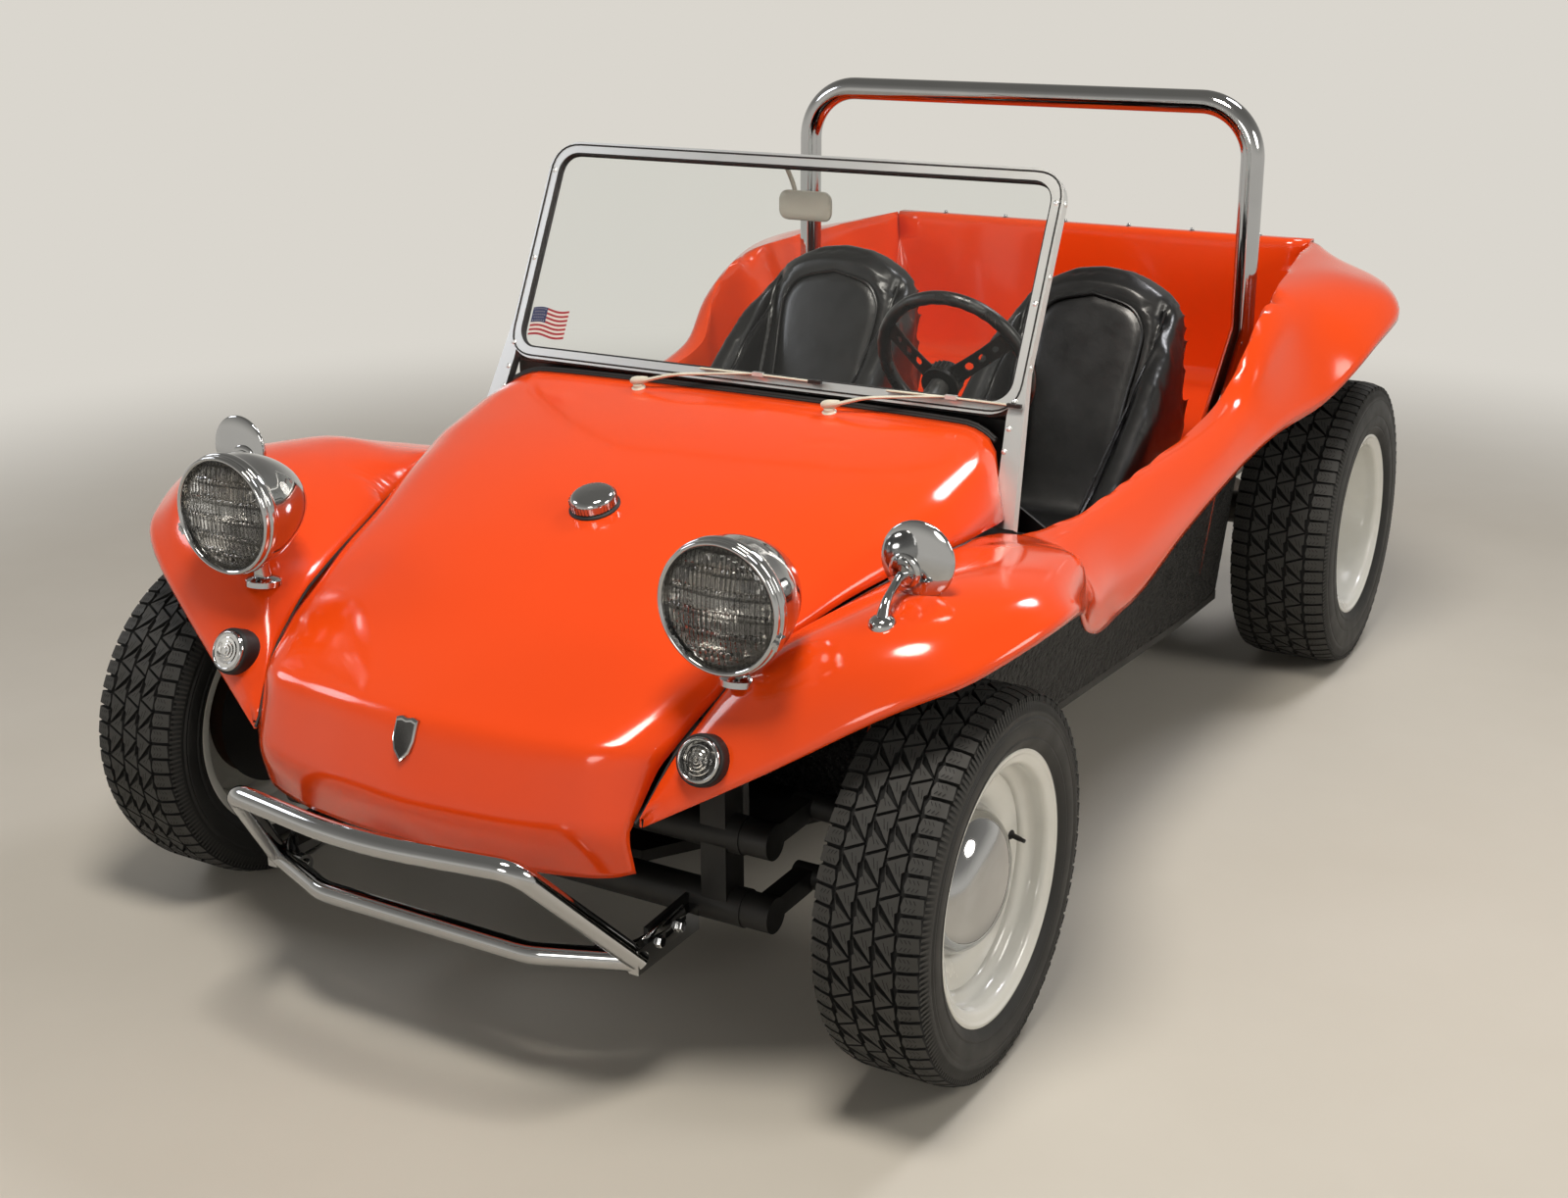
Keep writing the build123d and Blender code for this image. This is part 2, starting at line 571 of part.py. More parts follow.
def rear_frame():
    """The torsion tube across the pan's rear end, with the fork that carries the gearbox."""
    torsion_y = REAR_AXLE - SPRING_LENGTH
    frame = rod((-FRAME_PLATE_X, torsion_y, TORSION_Z), (FRAME_PLATE_X, torsion_y, TORSION_Z), TORSION_RADIUS)
    for side in (LEFT, RIGHT):
        x = side * FORK_HALF
        frame += tube_path([(side * 110, torsion_y, TORSION_Z), (x, REAR_AXLE - 120, FORK_Z),
                            (x, ENGINE_FRONT - 30, FORK_Z)], 60, FORK_RADIUS)
        px, z = side * FRAME_PLATE_X, REAR_TYRE_RADIUS
        plate = box(px - 6, px + 6, torsion_y - 40, REAR_AXLE + 56, TORSION_Z - 24, TORSION_Z + 84)
        frame += plate - rod((px - 20, REAR_AXLE, z), (px + 20, REAR_AXLE, z), AXLE_TUBE + FIT)
    bell_bottom = REAR_TYRE_RADIUS + BELL_RISE - BELL_RADIUS
    frame += box(-FORK_HALF, FORK_HALF, REAR_AXLE + 90, REAR_AXLE + 130, CRADLE_LOW, bell_bottom - FIT)
    for side in (LEFT, RIGHT):
        x = side * FORK_HALF
        frame += box(x - 16, x + 16, REAR_AXLE + 90, REAR_AXLE + 130, CRADLE_LOW, FORK_Z)
    return frame


def transaxle():
    """Gearbox, bell housing and the two axle tubes with their backing plates."""
    z = REAR_TYRE_RADIUS
    body = rod((0, REAR_AXLE - 330, z), (0, REAR_AXLE + 40, z), 92)
    body += rod((0, REAR_AXLE + 40, z + BELL_RISE), (0, ENGINE_FRONT - FIT, z + BELL_RISE), BELL_RADIUS)
    plate_x = REAR_DISC_X - DRUM_DEPTH - 8
    for side in (LEFT, RIGHT):
        body += rod((0, REAR_AXLE, z), (side * plate_x, REAR_AXLE, z), AXLE_TUBE)
        body += rod((side * (plate_x - 5), REAR_AXLE, z), (side * plate_x, REAR_AXLE, z), DRUM_RADIUS + 8)
        body += rod((side * plate_x, REAR_AXLE, z), (side * (REAR_DISC_X + 26), REAR_AXLE, z), HUB_BORE)
    return body


def pulley(radius, start, z, shaft):
    """A vee pulley on its shaft, in the belt's plane behind the engine."""
    y = ENGINE_FRONT + ENGINE_LENGTH + PULLEY_GAP
    groove = [(0, 0), (radius, 0), (radius, 2), (radius - 9, 7), (radius - 9, PULLEY_WIDTH - 7),
              (radius, PULLEY_WIDTH - 2), (radius, PULLEY_WIDTH), (0, PULLEY_WIDTH)]
    return turned(groove, (0, y, z), (0, 1, 0)) + rod((0, start, z), (0, y + 2, z), shaft)


def engine():
    """The flat-four: crankcase, four finned barrels and two heads."""
    y0, y1 = ENGINE_FRONT, ENGINE_FRONT + ENGINE_LENGTH
    block = box(-CASE_HALF, CASE_HALF, y0, y1, CRANK_Z - 130, CRANK_Z + CASE_TOP)
    for side in (LEFT, RIGHT):
        for i in (0.27, 0.73):
            y = y0 + ENGINE_LENGTH * i
            block += rod((side * 100, y, CRANK_Z), (side * 270, y, CRANK_Z), 52)
            for k in range(8):
                x = 132 + k * 17
                block += rod((side * x, y, CRANK_Z), (side * (x + 6), y, CRANK_Z), 68)
        block += box(min(side * 268, side * 350), max(side * 268, side * 350), y0 + 12, y1 - 12, HEAD_LOW,
                     CRANK_Z + 70)
    return block + pulley(CRANK_PULLEY, y1, CRANK_Z, 30)


def fan_shroud():
    """The upright cooling shroud over the barrels, with the fan housing in its middle."""
    y0 = REAR_WALL_TOP + REAR_LIP + 14
    y1 = y0 + SHROUD_DEPTH
    low = CRANK_Z + CASE_TOP + FIT
    edge = [(SHROUD_HALF - inset, low + rise)
            for inset, rise in ((0, 0), (0, 70), (30, 150), (80, 222), (130, 282), (180, 330), (240, 372))]
    outline = edge + [(-x, z) for x, z in edge[::-1]]
    shroud = ruled([[(x, y, z) for x, z in outline] for y in (y0, y1)])
    z = low + DYNAMO_RISE
    shroud += turned([(0, 0), (138, 0), (128, 14), (96, 26), (0, 26)], (0, y1, z), (0, 1, 0))
    dynamo_end = ENGINE_FRONT + ENGINE_LENGTH + 4
    length = dynamo_end - y1
    shroud += turned([(0, 0), (52, 0), (52, length - 20), (44, length), (0, length)], (0, y1, z), (0, 1, 0))
    shroud += box(-26, 26, dynamo_end - 30, dynamo_end - 4, low, z - 40)
    return shroud + pulley(DYNAMO_PULLEY, dynamo_end - 1, z, 12)


def carburettor():
    """The inlet pipe across the crankcase, the carburettor on it and the round air cleaner on top."""
    y = REAR_WALL_TOP + REAR_LIP + 14 + SHROUD_DEPTH + 56
    case = CRANK_Z + CASE_TOP + FIT
    bend, flange_z = 30, CRANK_Z + 70 + FIT
    route = [(-305, y, flange_z), (-305, y, case + 34), (305, y, case + 34), (305, y, flange_z)]
    stand = tube_path(route, bend, 15)
    stand += box(CARBURETTOR_X - 22, CARBURETTOR_X + 22, y - 16, y + 16, case, case + 34)
    body = [(0, 30), (24, 30), (24, 78), (34, 82), (34, 128), (26, 132), (26, 176), (0, 176)]
    stand += turned(body, (CARBURETTOR_X, y, case), (0, 0, 1))
    stand += box(CARBURETTOR_X, CARBURETTOR_X + 58, y - 24, y + 24, case + 86, case + 124)
    r = CLEANER_RADIUS
    cleaner = [(0, 168), (r - 8, 170), (r, 182), (r, 218), (r + 4, 221), (r + 4, 227), (r, 230), (r - 6, 246),
               (r - 30, 256), (0, 260)]
    return stand + turned(cleaner, (CARBURETTOR_X + 30, y + 40, case), (0, 0, 1))


def exhaust():
    """The cross silencer behind the engine, its tail pipes and a header up to each head."""
    y = ENGINE_FRONT + ENGINE_LENGTH + SILENCER_RADIUS + 2
    z = SILENCER_Z
    port_y = ENGINE_FRONT + ENGINE_LENGTH - 60
    pipes = rod((-SILENCER_HALF, y, z), (SILENCER_HALF, y, z), SILENCER_RADIUS)
    for side in (LEFT, RIGHT):
        pipes += rod((side * 120, y, z - 18), (side * 120, REAR_AXLE + REAR_OVERHANG - 30, z - 30), 16)
        port_x = side * PORT_X
        route = [(side * (SILENCER_HALF - 5), y, z), (port_x, y, z), (port_x, port_y, z),
                 (port_x, port_y, HEAD_LOW - FIT)]
        pipes += tube_path(route, [26, 20], 17)
    return pipes


def rear_bumper():
    """A hoop of tube whose two stays run under the engine to the ends of the rear fork."""
    y = REAR_AXLE + REAR_OVERHANG - BUMPER_TUBE
    low, high, half, stay = 260, 440, 350, 275
    fork_end = ENGINE_FRONT - 30 + FIT
    edge = [(half, high), (half, low + 40), (stay, low)]
    route = [(stay, fork_end + 5, FORK_Z)] + [(x, y, z) for x, z in edge[::-1]]
    route += [(-x, v, z) for x, v, z in route[::-1]]
    hoop = tube_path(route, [40, 30, 60, 60, 30, 40], STAY_TUBE)
    inner = FORK_HALF - 20
    for x in (-stay - 15, inner):
        hoop += box(x, x + stay + 15 - inner, fork_end, fork_end + 10, FORK_Z - 20, FORK_Z + 12)
    return hoop


# Fittings

def column_line(radius):
    """A bar along the steering column's axis, from the wheel's boss to the steering box."""
    angle = math.radians(COLUMN_RISE)
    hub = Vector(*STEERING_HUB)
    way = Vector(0, -math.cos(angle), -math.sin(angle))
    start = hub + way * (BOSS_END + RUNNING_GAP)
    return rod(tuple(start), tuple(hub + way * COLUMN_LENGTH), radius)


def steering_column():
    angle = math.radians(COLUMN_RISE)
    hub = Vector(*STEERING_HUB)
    way = Vector(0, -math.cos(angle), -math.sin(angle))
    end = hub + way * COLUMN_LENGTH
    gear = box(end.X - GEAR_BOX_HALF, end.X + GEAR_BOX_HALF,
               BEAM_Y + BEAM_RADIUS + FIT, end.Y + GEAR_BOX_HALF, BEAM_HIGH - 40, end.Z + 40)
    return column_line(COLUMN_RADIUS) + gear


def steering_wheel():
    """Rim, three drilled spokes and boss, square to the column."""
    angle = math.radians(COLUMN_RISE)
    plane = Plane(origin=Vector(*STEERING_HUB), x_dir=(-1, 0, 0), z_dir=(0, math.cos(angle), math.sin(angle)))
    rim = Torus(STEERING_WHEEL_RADIUS - STEERING_GRIP, STEERING_GRIP)
    hub = Pos(0, 0, -46) * Cylinder(40, 14) + Pos(0, 0, -50) * Cylinder(28, 22)
    body = rim + hub
    reach = STEERING_WHEEL_RADIUS - 20
    for turn in (30, 150, 270):
        dish = [(30, 0, -54), (reach, 0, -4), (reach, 0, 2), (30, 0, -48)]
        spoke = extrude(polygon(dish), amount=16, dir=(0, 1, 0), both=True)
        for k in range(3):
            spoke -= Pos(58 + 26 * k, 0, -30) * Cylinder(8 - k, 90)
        body += Rot(0, 0, turn) * spoke
    return plane * body


def screen_plane():
    """The windscreen's leaning plane at the middle of its foot: x across, y up the glass, z forward."""
    rise = SCREEN_TOP_Z - SCREEN_BASE_Z
    run = SCREEN_TOP_Y - SCREEN_BASE_Y
    return Plane(origin=(0, SCREEN_BASE_Y, SCREEN_BASE_Z), x_dir=(1, 0, 0), z_dir=(0, -rise, run))


def screen_height():
    return math.hypot(SCREEN_TOP_Z - SCREEN_BASE_Z, SCREEN_TOP_Y - SCREEN_BASE_Y)


def windscreen_frame():
    """Posts and rails in one leaning plane, with the posts' flared feet down the scuttle's sides."""
    height = screen_height()
    outline = Pos(0, height / 2, 0) * RectangleRounded(2 * SCREEN_HALF, height, SCREEN_CORNER)
    frame = outline - offset(outline, -FRAME_WIDE)
    drop = (SCREEN_BASE_Z - SCREEN_FOOT_Z) * height / (SCREEN_TOP_Z - SCREEN_BASE_Z)
    for side in (LEFT, RIGHT):
        foot = [(SCREEN_HALF, 80), (SCREEN_HALF - FRAME_WIDE, 80), (SCREEN_HALF - FRAME_WIDE, 0),
                (SCREEN_FOOT_X - 19, -drop), (SCREEN_FOOT_X + 19, -drop)]
        frame += polygon([(side * x, y, 0) for x, y in foot])
    return screen_plane() * extrude(frame, amount=FRAME_DEEP / 2, both=True)


def windscreen_glass():
    """The flat glass, with its rubber's clearance inside the frame."""
    height = screen_height()
    outline = Pos(0, height / 2, 0) * RectangleRounded(2 * SCREEN_HALF, height, SCREEN_CORNER)
    return screen_plane() * extrude(offset(outline, -FRAME_WIDE - FIT), amount=GLASS / 2, both=True)


def fuel_cap(panel):
    """The filler's cap on its gasket, square to the bonnet."""
    high, low = bonnet_height(0, CAP_Y + 40), bonnet_height(0, CAP_Y - 40)
    middle = (0, CAP_Y, (high + low) / 2 - 2)
    profile = [(0, -6), (41, -6), (42, 5), (37, 9), (37, 22), (31, 29), (0, 33)]
    return outside(turned(profile, middle, (0, low - high, 80)), panel)


def headlamp_shell(side, panel):
    """A bullet shell, open at the front, on a short stalk."""
    x, y, z = LAMP
    outside_line = [(LENS_RADIUS, 0), (LAMP_RADIUS, 0), (LAMP_RADIUS + 2, 12), (LAMP_RADIUS - 4, 24),
                    (90, 60), (72, 110), (44, 148), (0, LAMP_DEPTH)]
    inside_line = [(0, LAMP_DEPTH - 4), (42, 144), (69, 108), (86, 60), (LENS_RADIUS, 24)]
    shell = turned(outside_line + inside_line, (x, y, z), (0, 1, 0))
    stalk = rod((x - 6, y + 66, z - 84), (x - 8, y + 72, z - 150), 15)
    stalk += rod((x - 8, y + 71, z - 122), (x - 8, y + 72, z - 150), 26)
    return for_side(outside(shell + stalk, panel), side)


def headlamp_lens(side):
    """A domed glass in the shell's mouth."""
    x, y, z = LAMP
    r = LENS_RADIUS - FIT
    glass = turned([(0, -14), (30, -12), (60, -6), (r, 2), (r, 20), (0, 20)], (x, y, z), (0, 1, 0))
    return for_side(glass, side)


def indicator(side, panel):
    """A round lamp on a rubber foot shaped to the wing."""
    x, y, z = INDICATOR
    r = INDICATOR_RADIUS
    profile = [(0, -8), (14, -6), (r - 6, 0), (r, 4), (r, 16), (r - 2, 70), (0, 70)]
    lamp = turned(profile, (x, y, z), (0, 1, 0))
    return for_side(outside(lamp, panel), side)


def wing_mirror(side, panel):
    """A round mirror head on a stem."""
    x, y, z = MIRROR
    head = turned([(0, 0), (56, 0), (58, 5), (50, 14), (24, 22), (0, 24)], (x, y, z), (0, -1, 0))
    foot_x, foot_y = x - 12, y - 90
    stem = tube_path([(x - 4, y - 20, z - 16), (x - 8, y - 80, z - 44), (foot_x, foot_y, z - 77)], 20, 5)
    base = rod((foot_x, foot_y, z - 101), (foot_x, foot_y, z - 68), 17)
    return for_side(outside(head + stem + base, panel), side)


def interior_mirror():
    """The mirror's head hangs from the top rail on a short stem."""
    y = SCREEN_TOP_Y + 12
    stem = rod((0, y, SCREEN_TOP_Z - 14), (0, y + 30, SCREEN_TOP_Z - 80), 5)
    stem += box(-16, 16, y - 4, y + 4, SCREEN_TOP_Z - 24, SCREEN_TOP_Z - 4)
    head = box(-62, 62, y + 22, y + 36, SCREEN_TOP_Z - 118, SCREEN_TOP_Z - 74)
    return outside(stem + head, windscreen_frame())


def nose_badge(panel):
    """A small blank shield on the bonnet's nose."""
    outline = [(-22, 0), (22, 0), (22, -44), (0, -66), (-22, -44)]
    plane = Plane(origin=(0, -406, 540), x_dir=(1, 0, 0), z_dir=(0, -129, 43))
    shield = plane * extrude(polygon([(x, y, 0) for x, y in outline]), amount=30, both=True)
    front = plane * Pos(0, -33, 18) * Box(60, 80, 24)
    return outside(shield - front, panel)


def fuel_tank():
    """The tank under the bonnet, bolted to the bulkhead."""
    tank = box(-TANK_HALF, TANK_HALF, TANK_FRONT, FIREWALL - FIT, TANK_LOW, TANK_HIGH)
    tank = fillet(tank.edges().filter_by(Axis.X), 30)
    return tank + rod((0, CAP_Y, TANK_HIGH - 15), (0, CAP_Y, TANK_HIGH + 60), 26)


def driver_controls():
    """Gear lever and handbrake on the tunnel, and three hinged pedals from the bulkhead."""
    tunnel = PAN_TOP + TUNNEL_HEIGHT
    lever = rod((0, 760, tunnel), (0, 760, tunnel + 14), 30)
    lever += rod((0, 760, tunnel + 8), (0, 850, tunnel + 230), 6) + Pos(0, 853, tunnel + 240) * Sphere(20)
    brake = box(-14, 14, 960, 1010, tunnel, tunnel + 22)
    brake += rod((0, 985, tunnel + 14), (0, 1180, tunnel + 70), 9)
    pedals = []
    for x in (210, 300, 385):
        hinge_y = FIREWALL + WALL + FIT
        pedal = box(x - 12, x + 12, hinge_y, hinge_y + 22, 452, 484)
        pedal += rod((x, hinge_y + 12, 468), (x, 380, 400), 7) + box(x - 24, x + 24, 374, 384, 375, 435)
        pedals.append(pedal)
    return [lever, brake] + pedals


def wipers(panel):
    """Two arms parked along the foot of the glass, each on its own spindle."""
    arms = []
    for x in (-WIPER_X, WIPER_X):
        z = bonnet_height(x, WIPER_Y)
        blade_y, blade_z = SCREEN_BASE_Y - 16, SCREEN_BASE_Z + 34
        arm = rod((x, WIPER_Y, z - 4), (x, WIPER_Y - 6, z + 22), 11)
        arm += rod((x, WIPER_Y - 4, z + 18), (x + 170, blade_y, blade_z), 5)
        arm += rod((x + 40, blade_y, blade_z), (x + 300, blade_y, blade_z), 5)
        arms.append(outside(arm, panel))
    return arms


def roll_bar():
    """One hoop of tube on two flange plates on the bench."""
    low = BENCH_TOP + 8
    leg = [(ROLL_FOOT_HALF, ROLL_Y, low), (ROLL_HALF, ROLL_Y, ROLL_BEND_Z), (ROLL_HALF, ROLL_Y, ROLL_TOP)]
    other_leg = [(-x, y, z) for x, y, z in leg[::-1]]
    bar = tube_path(leg + other_leg, [60, ROLL_CORNER, ROLL_CORNER, 60], ROLL_TUBE)
    plate = box(ROLL_FOOT_HALF - 30, ROLL_FOOT_HALF + 42, ROLL_Y - 50, ROLL_Y + 50, BENCH_TOP, low)
    return bar + plate + mirrored(plate)


def front_bumper():
    """An upper hoop whose ends slant down to the lower cross tube."""
    front = BUMPER_TUBE - FRONT_OVERHANG
    x, y, z = BUMPER_END
    bend = front + 37
    top = BUMPER_TOP
    upper = [(-x, y, z), (-262, bend, top), (0, front - 3, top), (262, bend, top), (x, y, z)]
    lower = [(-x, y, z), (-200, y - 62, z), (200, y - 62, z), (x, y, z)]
    bar = tube_path(upper, [45, 700, 45], BUMPER_TUBE) + tube_path(lower, [90, 90], BUMPER_TUBE)
    for end in (-x, x):
        bar += box(end - 9, end + 9, y - 17, BEAM_Y - BEAM_RADIUS - FIT, z - 15, z + 25)
    return bar


def seat(side):
    """A bucket seat: a cushion and back with raised bolsters down both sides."""
    top_y, top_z = SEAT_BACK_TOP
    base = PAN_TOP + SEAT_RAIL + FIT
    front = SEAT_FRONT
    behind = [(top_y, top_z), (top_y + 26, top_z - 16), (front + 565, base + 250), (front + 505, base + 60),
              (front + 470, base)]
    centre = [(front, base + 20), (front, base + 190), (front + 50, base + 214), (front + 390, base + 184),
              (front + 440, base + 212), (top_y - 32, top_z - 24)] + behind
    bolster = [(front + 8, base + 20), (front + 8, base + 196), (front + 110, base + 252),
               (front + 250, base + 330), (front + 393, base + 447), (front + 480, base + 536),
               (top_y - 60, top_z - 104), (top_y - 22, top_z - 40)] + behind[1:]
    reach = SEAT_HALF - BOLSTER
    body = extrude(polygon([(0, y, z) for y, z in centre]), amount=reach + 2, dir=(1, 0, 0), both=True)
    for s in (LEFT, RIGHT):
        body += extrude(polygon([(s * reach, y, z) for y, z in bolster]), amount=BOLSTER, dir=(s, 0, 0))
    edge = [(SEAT_HALF, base - 5), (SEAT_HALF, top_z - 130), (SEAT_HALF - 10, top_z - 90),
            (SEAT_HALF - 44, top_z - 52), (SEAT_HALF - 100, top_z - 16), (60, top_z + 2)]
    front_view = edge + [(-x, z) for x, z in edge[::-1]]
    keep = extrude(polygon([(x, front - 50, z) for x, z in front_view]), amount=900, dir=(0, 1, 0))
    return Pos(side * SEAT_X, 0, 0) * (body & keep)


def tail_lamp(side, panel):
    """A round lamp square to the swept tail panel."""
    (ax, az), (bx, bz) = [side_section(TAIL_LAMP_Y + dy)[-2] for dy in (-40, 40)]
    out = Vector(80, ax - bx, 0).normalized()
    centre = Vector((ax + bx) / 2, TAIL_LAMP_Y, az - 46)
    r = TAIL_LAMP_RADIUS
    lamp = turned([(0, -12), (r, -12), (r, 14), (r - 8, 26), (0, 32)], tuple(centre), tuple(out))
    return for_side(outside(lamp, panel), side)


def build():
    os.makedirs("parts", exist_ok=True)
    side = body_side()
    hood = bonnet()
    save("body_side_left", side)
    save("body_side_right", mirrored(side))
    save("bonnet", hood)
    save("firewall", firewall())
    save("rear_bench", rear_bench())
    save("dashboard", dashboard())
    save("floor_pan", floor_pan())
    save("front_beam", front_beam())
    save("trailing_arms", *trailing_arms())
    save("rear_frame", rear_frame())
    save("transaxle", transaxle())
    save("engine", engine())
    save("fan_shroud", fan_shroud())
    save("carburettor", carburettor())
    save("exhaust", exhaust())
    save("rear_bumper", rear_bumper())
    save("front_bumper", front_bumper())
    save("roll_bar", roll_bar())
    save("windscreen_frame", windscreen_frame())
    save("windscreen_glass", windscreen_glass())
    save("steering_column", steering_column())
    save("steering_wheel", steering_wheel())
    save("driver_controls", *driver_controls())
    save("fuel_tank", fuel_tank())
    save("fuel_cap", fuel_cap(hood))
    save("nose_badge", nose_badge(hood))
    save("wipers", *wipers(hood))
    save("interior_mirror", interior_mirror())
    save("seats", *[seat(s) for s in SIDES.values()])
    save("headlamp_shells", *[headlamp_shell(s, side) for s in SIDES.values()])
    save("headlamp_lenses", *[headlamp_lens(s) for s in SIDES.values()])
    save("indicators", *[indicator(s, side) for s in SIDES.values()])
    save("wing_mirrors", *[wing_mirror(s, side) for s in SIDES.values()])
    save("tail_lamps", *[tail_lamp(s, side) for s in SIDES.values()])
    axles = {"front": (FRONT_TYRE_X, 0, FRONT_TYRE_RADIUS, FRONT_TYRE_WIDTH, DISC_X),
             "rear": (REAR_TYRE_X, REAR_AXLE, REAR_TYRE_RADIUS, REAR_TYRE_WIDTH, REAR_DISC_X)}
    for name, s in SIDES.items():
        save(f"knuckle_{name}", knuckle(s))
        for end, (x, y, radius, width, disc_x) in axles.items():
            save(f"{end}_wheel_{name}", wheel(x, radius, y, s, width, disc_x, HUB_BORE + RUNNING_GAP))
            save(f"{end}_hubcap_{name}", hubcap(disc_x, y, radius, s))
            save(f"{end}_tyre_{name}", tyre(x, y, radius, width, s))


build()
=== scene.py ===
import math

import bmesh
import bpy
from mathutils import Matrix, Vector
from mathutils.bvhtree import BVHTree
from mathutils.kdtree import KDTree


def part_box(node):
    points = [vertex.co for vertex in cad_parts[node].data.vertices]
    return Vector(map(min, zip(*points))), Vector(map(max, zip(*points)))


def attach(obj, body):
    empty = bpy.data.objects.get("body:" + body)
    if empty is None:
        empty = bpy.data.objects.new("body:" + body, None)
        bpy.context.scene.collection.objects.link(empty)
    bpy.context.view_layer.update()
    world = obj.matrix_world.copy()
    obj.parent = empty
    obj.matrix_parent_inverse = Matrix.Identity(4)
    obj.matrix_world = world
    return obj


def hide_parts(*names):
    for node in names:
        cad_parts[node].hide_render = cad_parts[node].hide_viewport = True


bl_info = {
    "name": "Dune buggy",
    "version": (1, 0, 0),
    "blender": (4, 5, 0),
    "location": "3D View > Sidebar > Buggy",
    "description": "Dresses the dune buggy's frame with its body, trim, seats, wheels and tyres",
    "category": "Add Mesh",
}

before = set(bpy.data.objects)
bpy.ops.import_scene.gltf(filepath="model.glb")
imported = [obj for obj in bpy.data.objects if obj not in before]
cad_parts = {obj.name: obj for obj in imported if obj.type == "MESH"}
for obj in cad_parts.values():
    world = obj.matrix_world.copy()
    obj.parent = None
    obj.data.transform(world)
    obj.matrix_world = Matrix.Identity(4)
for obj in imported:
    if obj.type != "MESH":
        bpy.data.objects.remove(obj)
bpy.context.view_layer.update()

# Lengths in the tables are millimetres from the front axle, on the ground, at the middle of the car.
MM = 0.001
LEFT, RIGHT = 1, -1
SIDES = {"left": LEFT, "right": RIGHT}
SIDE_NAMES = {side: name for name, side in SIDES.items()}


def node_middle(name):
    """The middle of a CAD node's box, in metres."""
    low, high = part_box(name)
    return (low + high) / 2


FRONT_HUB = node_middle("front_tyre_left")
REAR_HUB = node_middle("rear_tyre_left")
RIM_RADIUS = 208.3


def at(x, y, z):
    """A point given in millimetres from the front axle, in metres in the frame."""
    return Vector((x * MM, y * MM + FRONT_HUB.y, z * MM))


# Tables of the body's shape

# y | inner edge x, z | shoulder x, z | crown x, z | flank x, z | outer edge x, z | skirt
SIDE_ROWS = [
    (-330, 366, 448, 368, 450, 370, 451, 372, 450, 374, 448, 12),
    (-260, 391, 538, 428, 556, 475, 566, 518, 563, 558, 552, 12),
    (-203, 406, 576, 452, 630, 540, 662, 625, 664, 700, 640, 12),
    (-130, 418, 620, 480, 668, 590, 716, 705, 716, 785, 675, 12),
    (50, 469, 660, 545, 706, 670, 752, 790, 748, 846, 716, 12),
    (270, 536, 700, 600, 722, 700, 740, 778, 727, 794, 658, 12),
    (354, 560, 709, 620, 712, 700, 716, 746, 698, 753, 629, 12),
    (400, 561, 701, 622, 704, 696, 702, 734, 664, 740, 595, 12),
    (455, 562, 692, 625, 694, 688, 676, 722, 616, 728, 556, 12),
    (524, 572, 672, 630, 658, 678, 622, 712, 580, 723, 534, 12),
    (713, 601, 667, 632, 655, 665, 615, 688, 574, 700, 518, 12),
    (1000, 608, 680, 640, 668, 670, 635, 688, 605, 699, 570, 12),
    (1300, 614, 700, 650, 698, 680, 680, 696, 655, 707, 627, 12),
    (1437, 622, 736, 662, 730, 682, 710, 698, 685, 717, 651, 12),
    (1514, 646, 838, 680, 800, 694, 750, 709, 705, 728, 664, 12),
    (1663, 640, 906, 685, 872, 712, 812, 738, 745, 764, 687, 12),
    (1800, 624, 917, 689, 898, 742, 862, 795, 818, 827, 780, 12),
    (1969, 595, 923, 682, 912, 750, 892, 812, 864, 843, 834, 18),
    (2130, 568, 929, 645, 915, 700, 900, 745, 886, 772, 872, 80),
    (2290, 549, 932, 575, 922, 592, 905, 606, 893, 618, 882, 96),
]
SIDE_START, SIDE_END = SIDE_ROWS[0][0], SIDE_ROWS[-1][0]
# Points in each side line, and the one on the rim that carries the snap fasteners
SIDE_POINTS = 56
RIM_POINT = 17
# The foot of the inner wall: y, x, z
FOOT_ROWS = [
    (-330, 366, 436), (160, 500, 640), (262, 404, 246), (400, 452, 246), (600, 494, 246), (854, 524, 246),
    (1400, 565, 246), (1640, 572, 246), (1705, 548, 560), (2290, 500, 560),
]
# share of the half width | under-lip y, z | lip y, z | crease y, z | heights over BONNET_Y | rear edge y, z
BONNET_Y = (-205, -100, 30, 200, 380)
BONNET_ROWS = [
    (0.00, -385, 345, -428, 420, -385, 549, 626, 673, 724, 777, 817, 600, 848),
    (0.30, -382, 345, -418, 420, -377, 547, 625, 671, 722, 775, 815, 600, 848),
    (0.60, -370, 345, -400, 419, -362, 544, 620, 664, 714, 767, 808, 600, 848),
    (0.82, -352, 347, -382, 420, -352, 545, 610, 650, 698, 751, 794, 600, 848),
    (0.93, -340, 352, -364, 422, -331, 541, 599, 641, 681, 729, 767, 590, 830),
    (1.00, -325, 358, -343, 424, -292, 512, 574, 620, 654, 687, 705, 560, 700),
    (1.10, -300, 362, -318, 424, -262, 500, 560, 604, 638, 668, 690, 560, 640),
]
SEAM_ROWS = [(-345, 355), (-285, 378), (-190, 404), (-129, 414), (-2, 450), (81, 470), (174, 499), (262, 527),
             (354, 556), (455, 560), (508, 553), (584, 541), (620, 541)]
LIP_TOP = 430
LIP_Y = -343
BONNET_STEPS = 96
# The bonnet stops this far short of its seam and of the windscreen's foot.
SEAM_GAP = 1
SCREEN_GAP = 13
# Its heights near the edge are read this far inside the seam.
READING_GAP = 4
BODY_WALL = 5
TUB_COVE = 26
BEADING = 2.6
SCREEN_RUBBER = 3.6
SCREEN_BASE = (582.0, 854.0)
SCREEN_TOP = (774.0, 1249.0)


# The driver's seat about its own middle

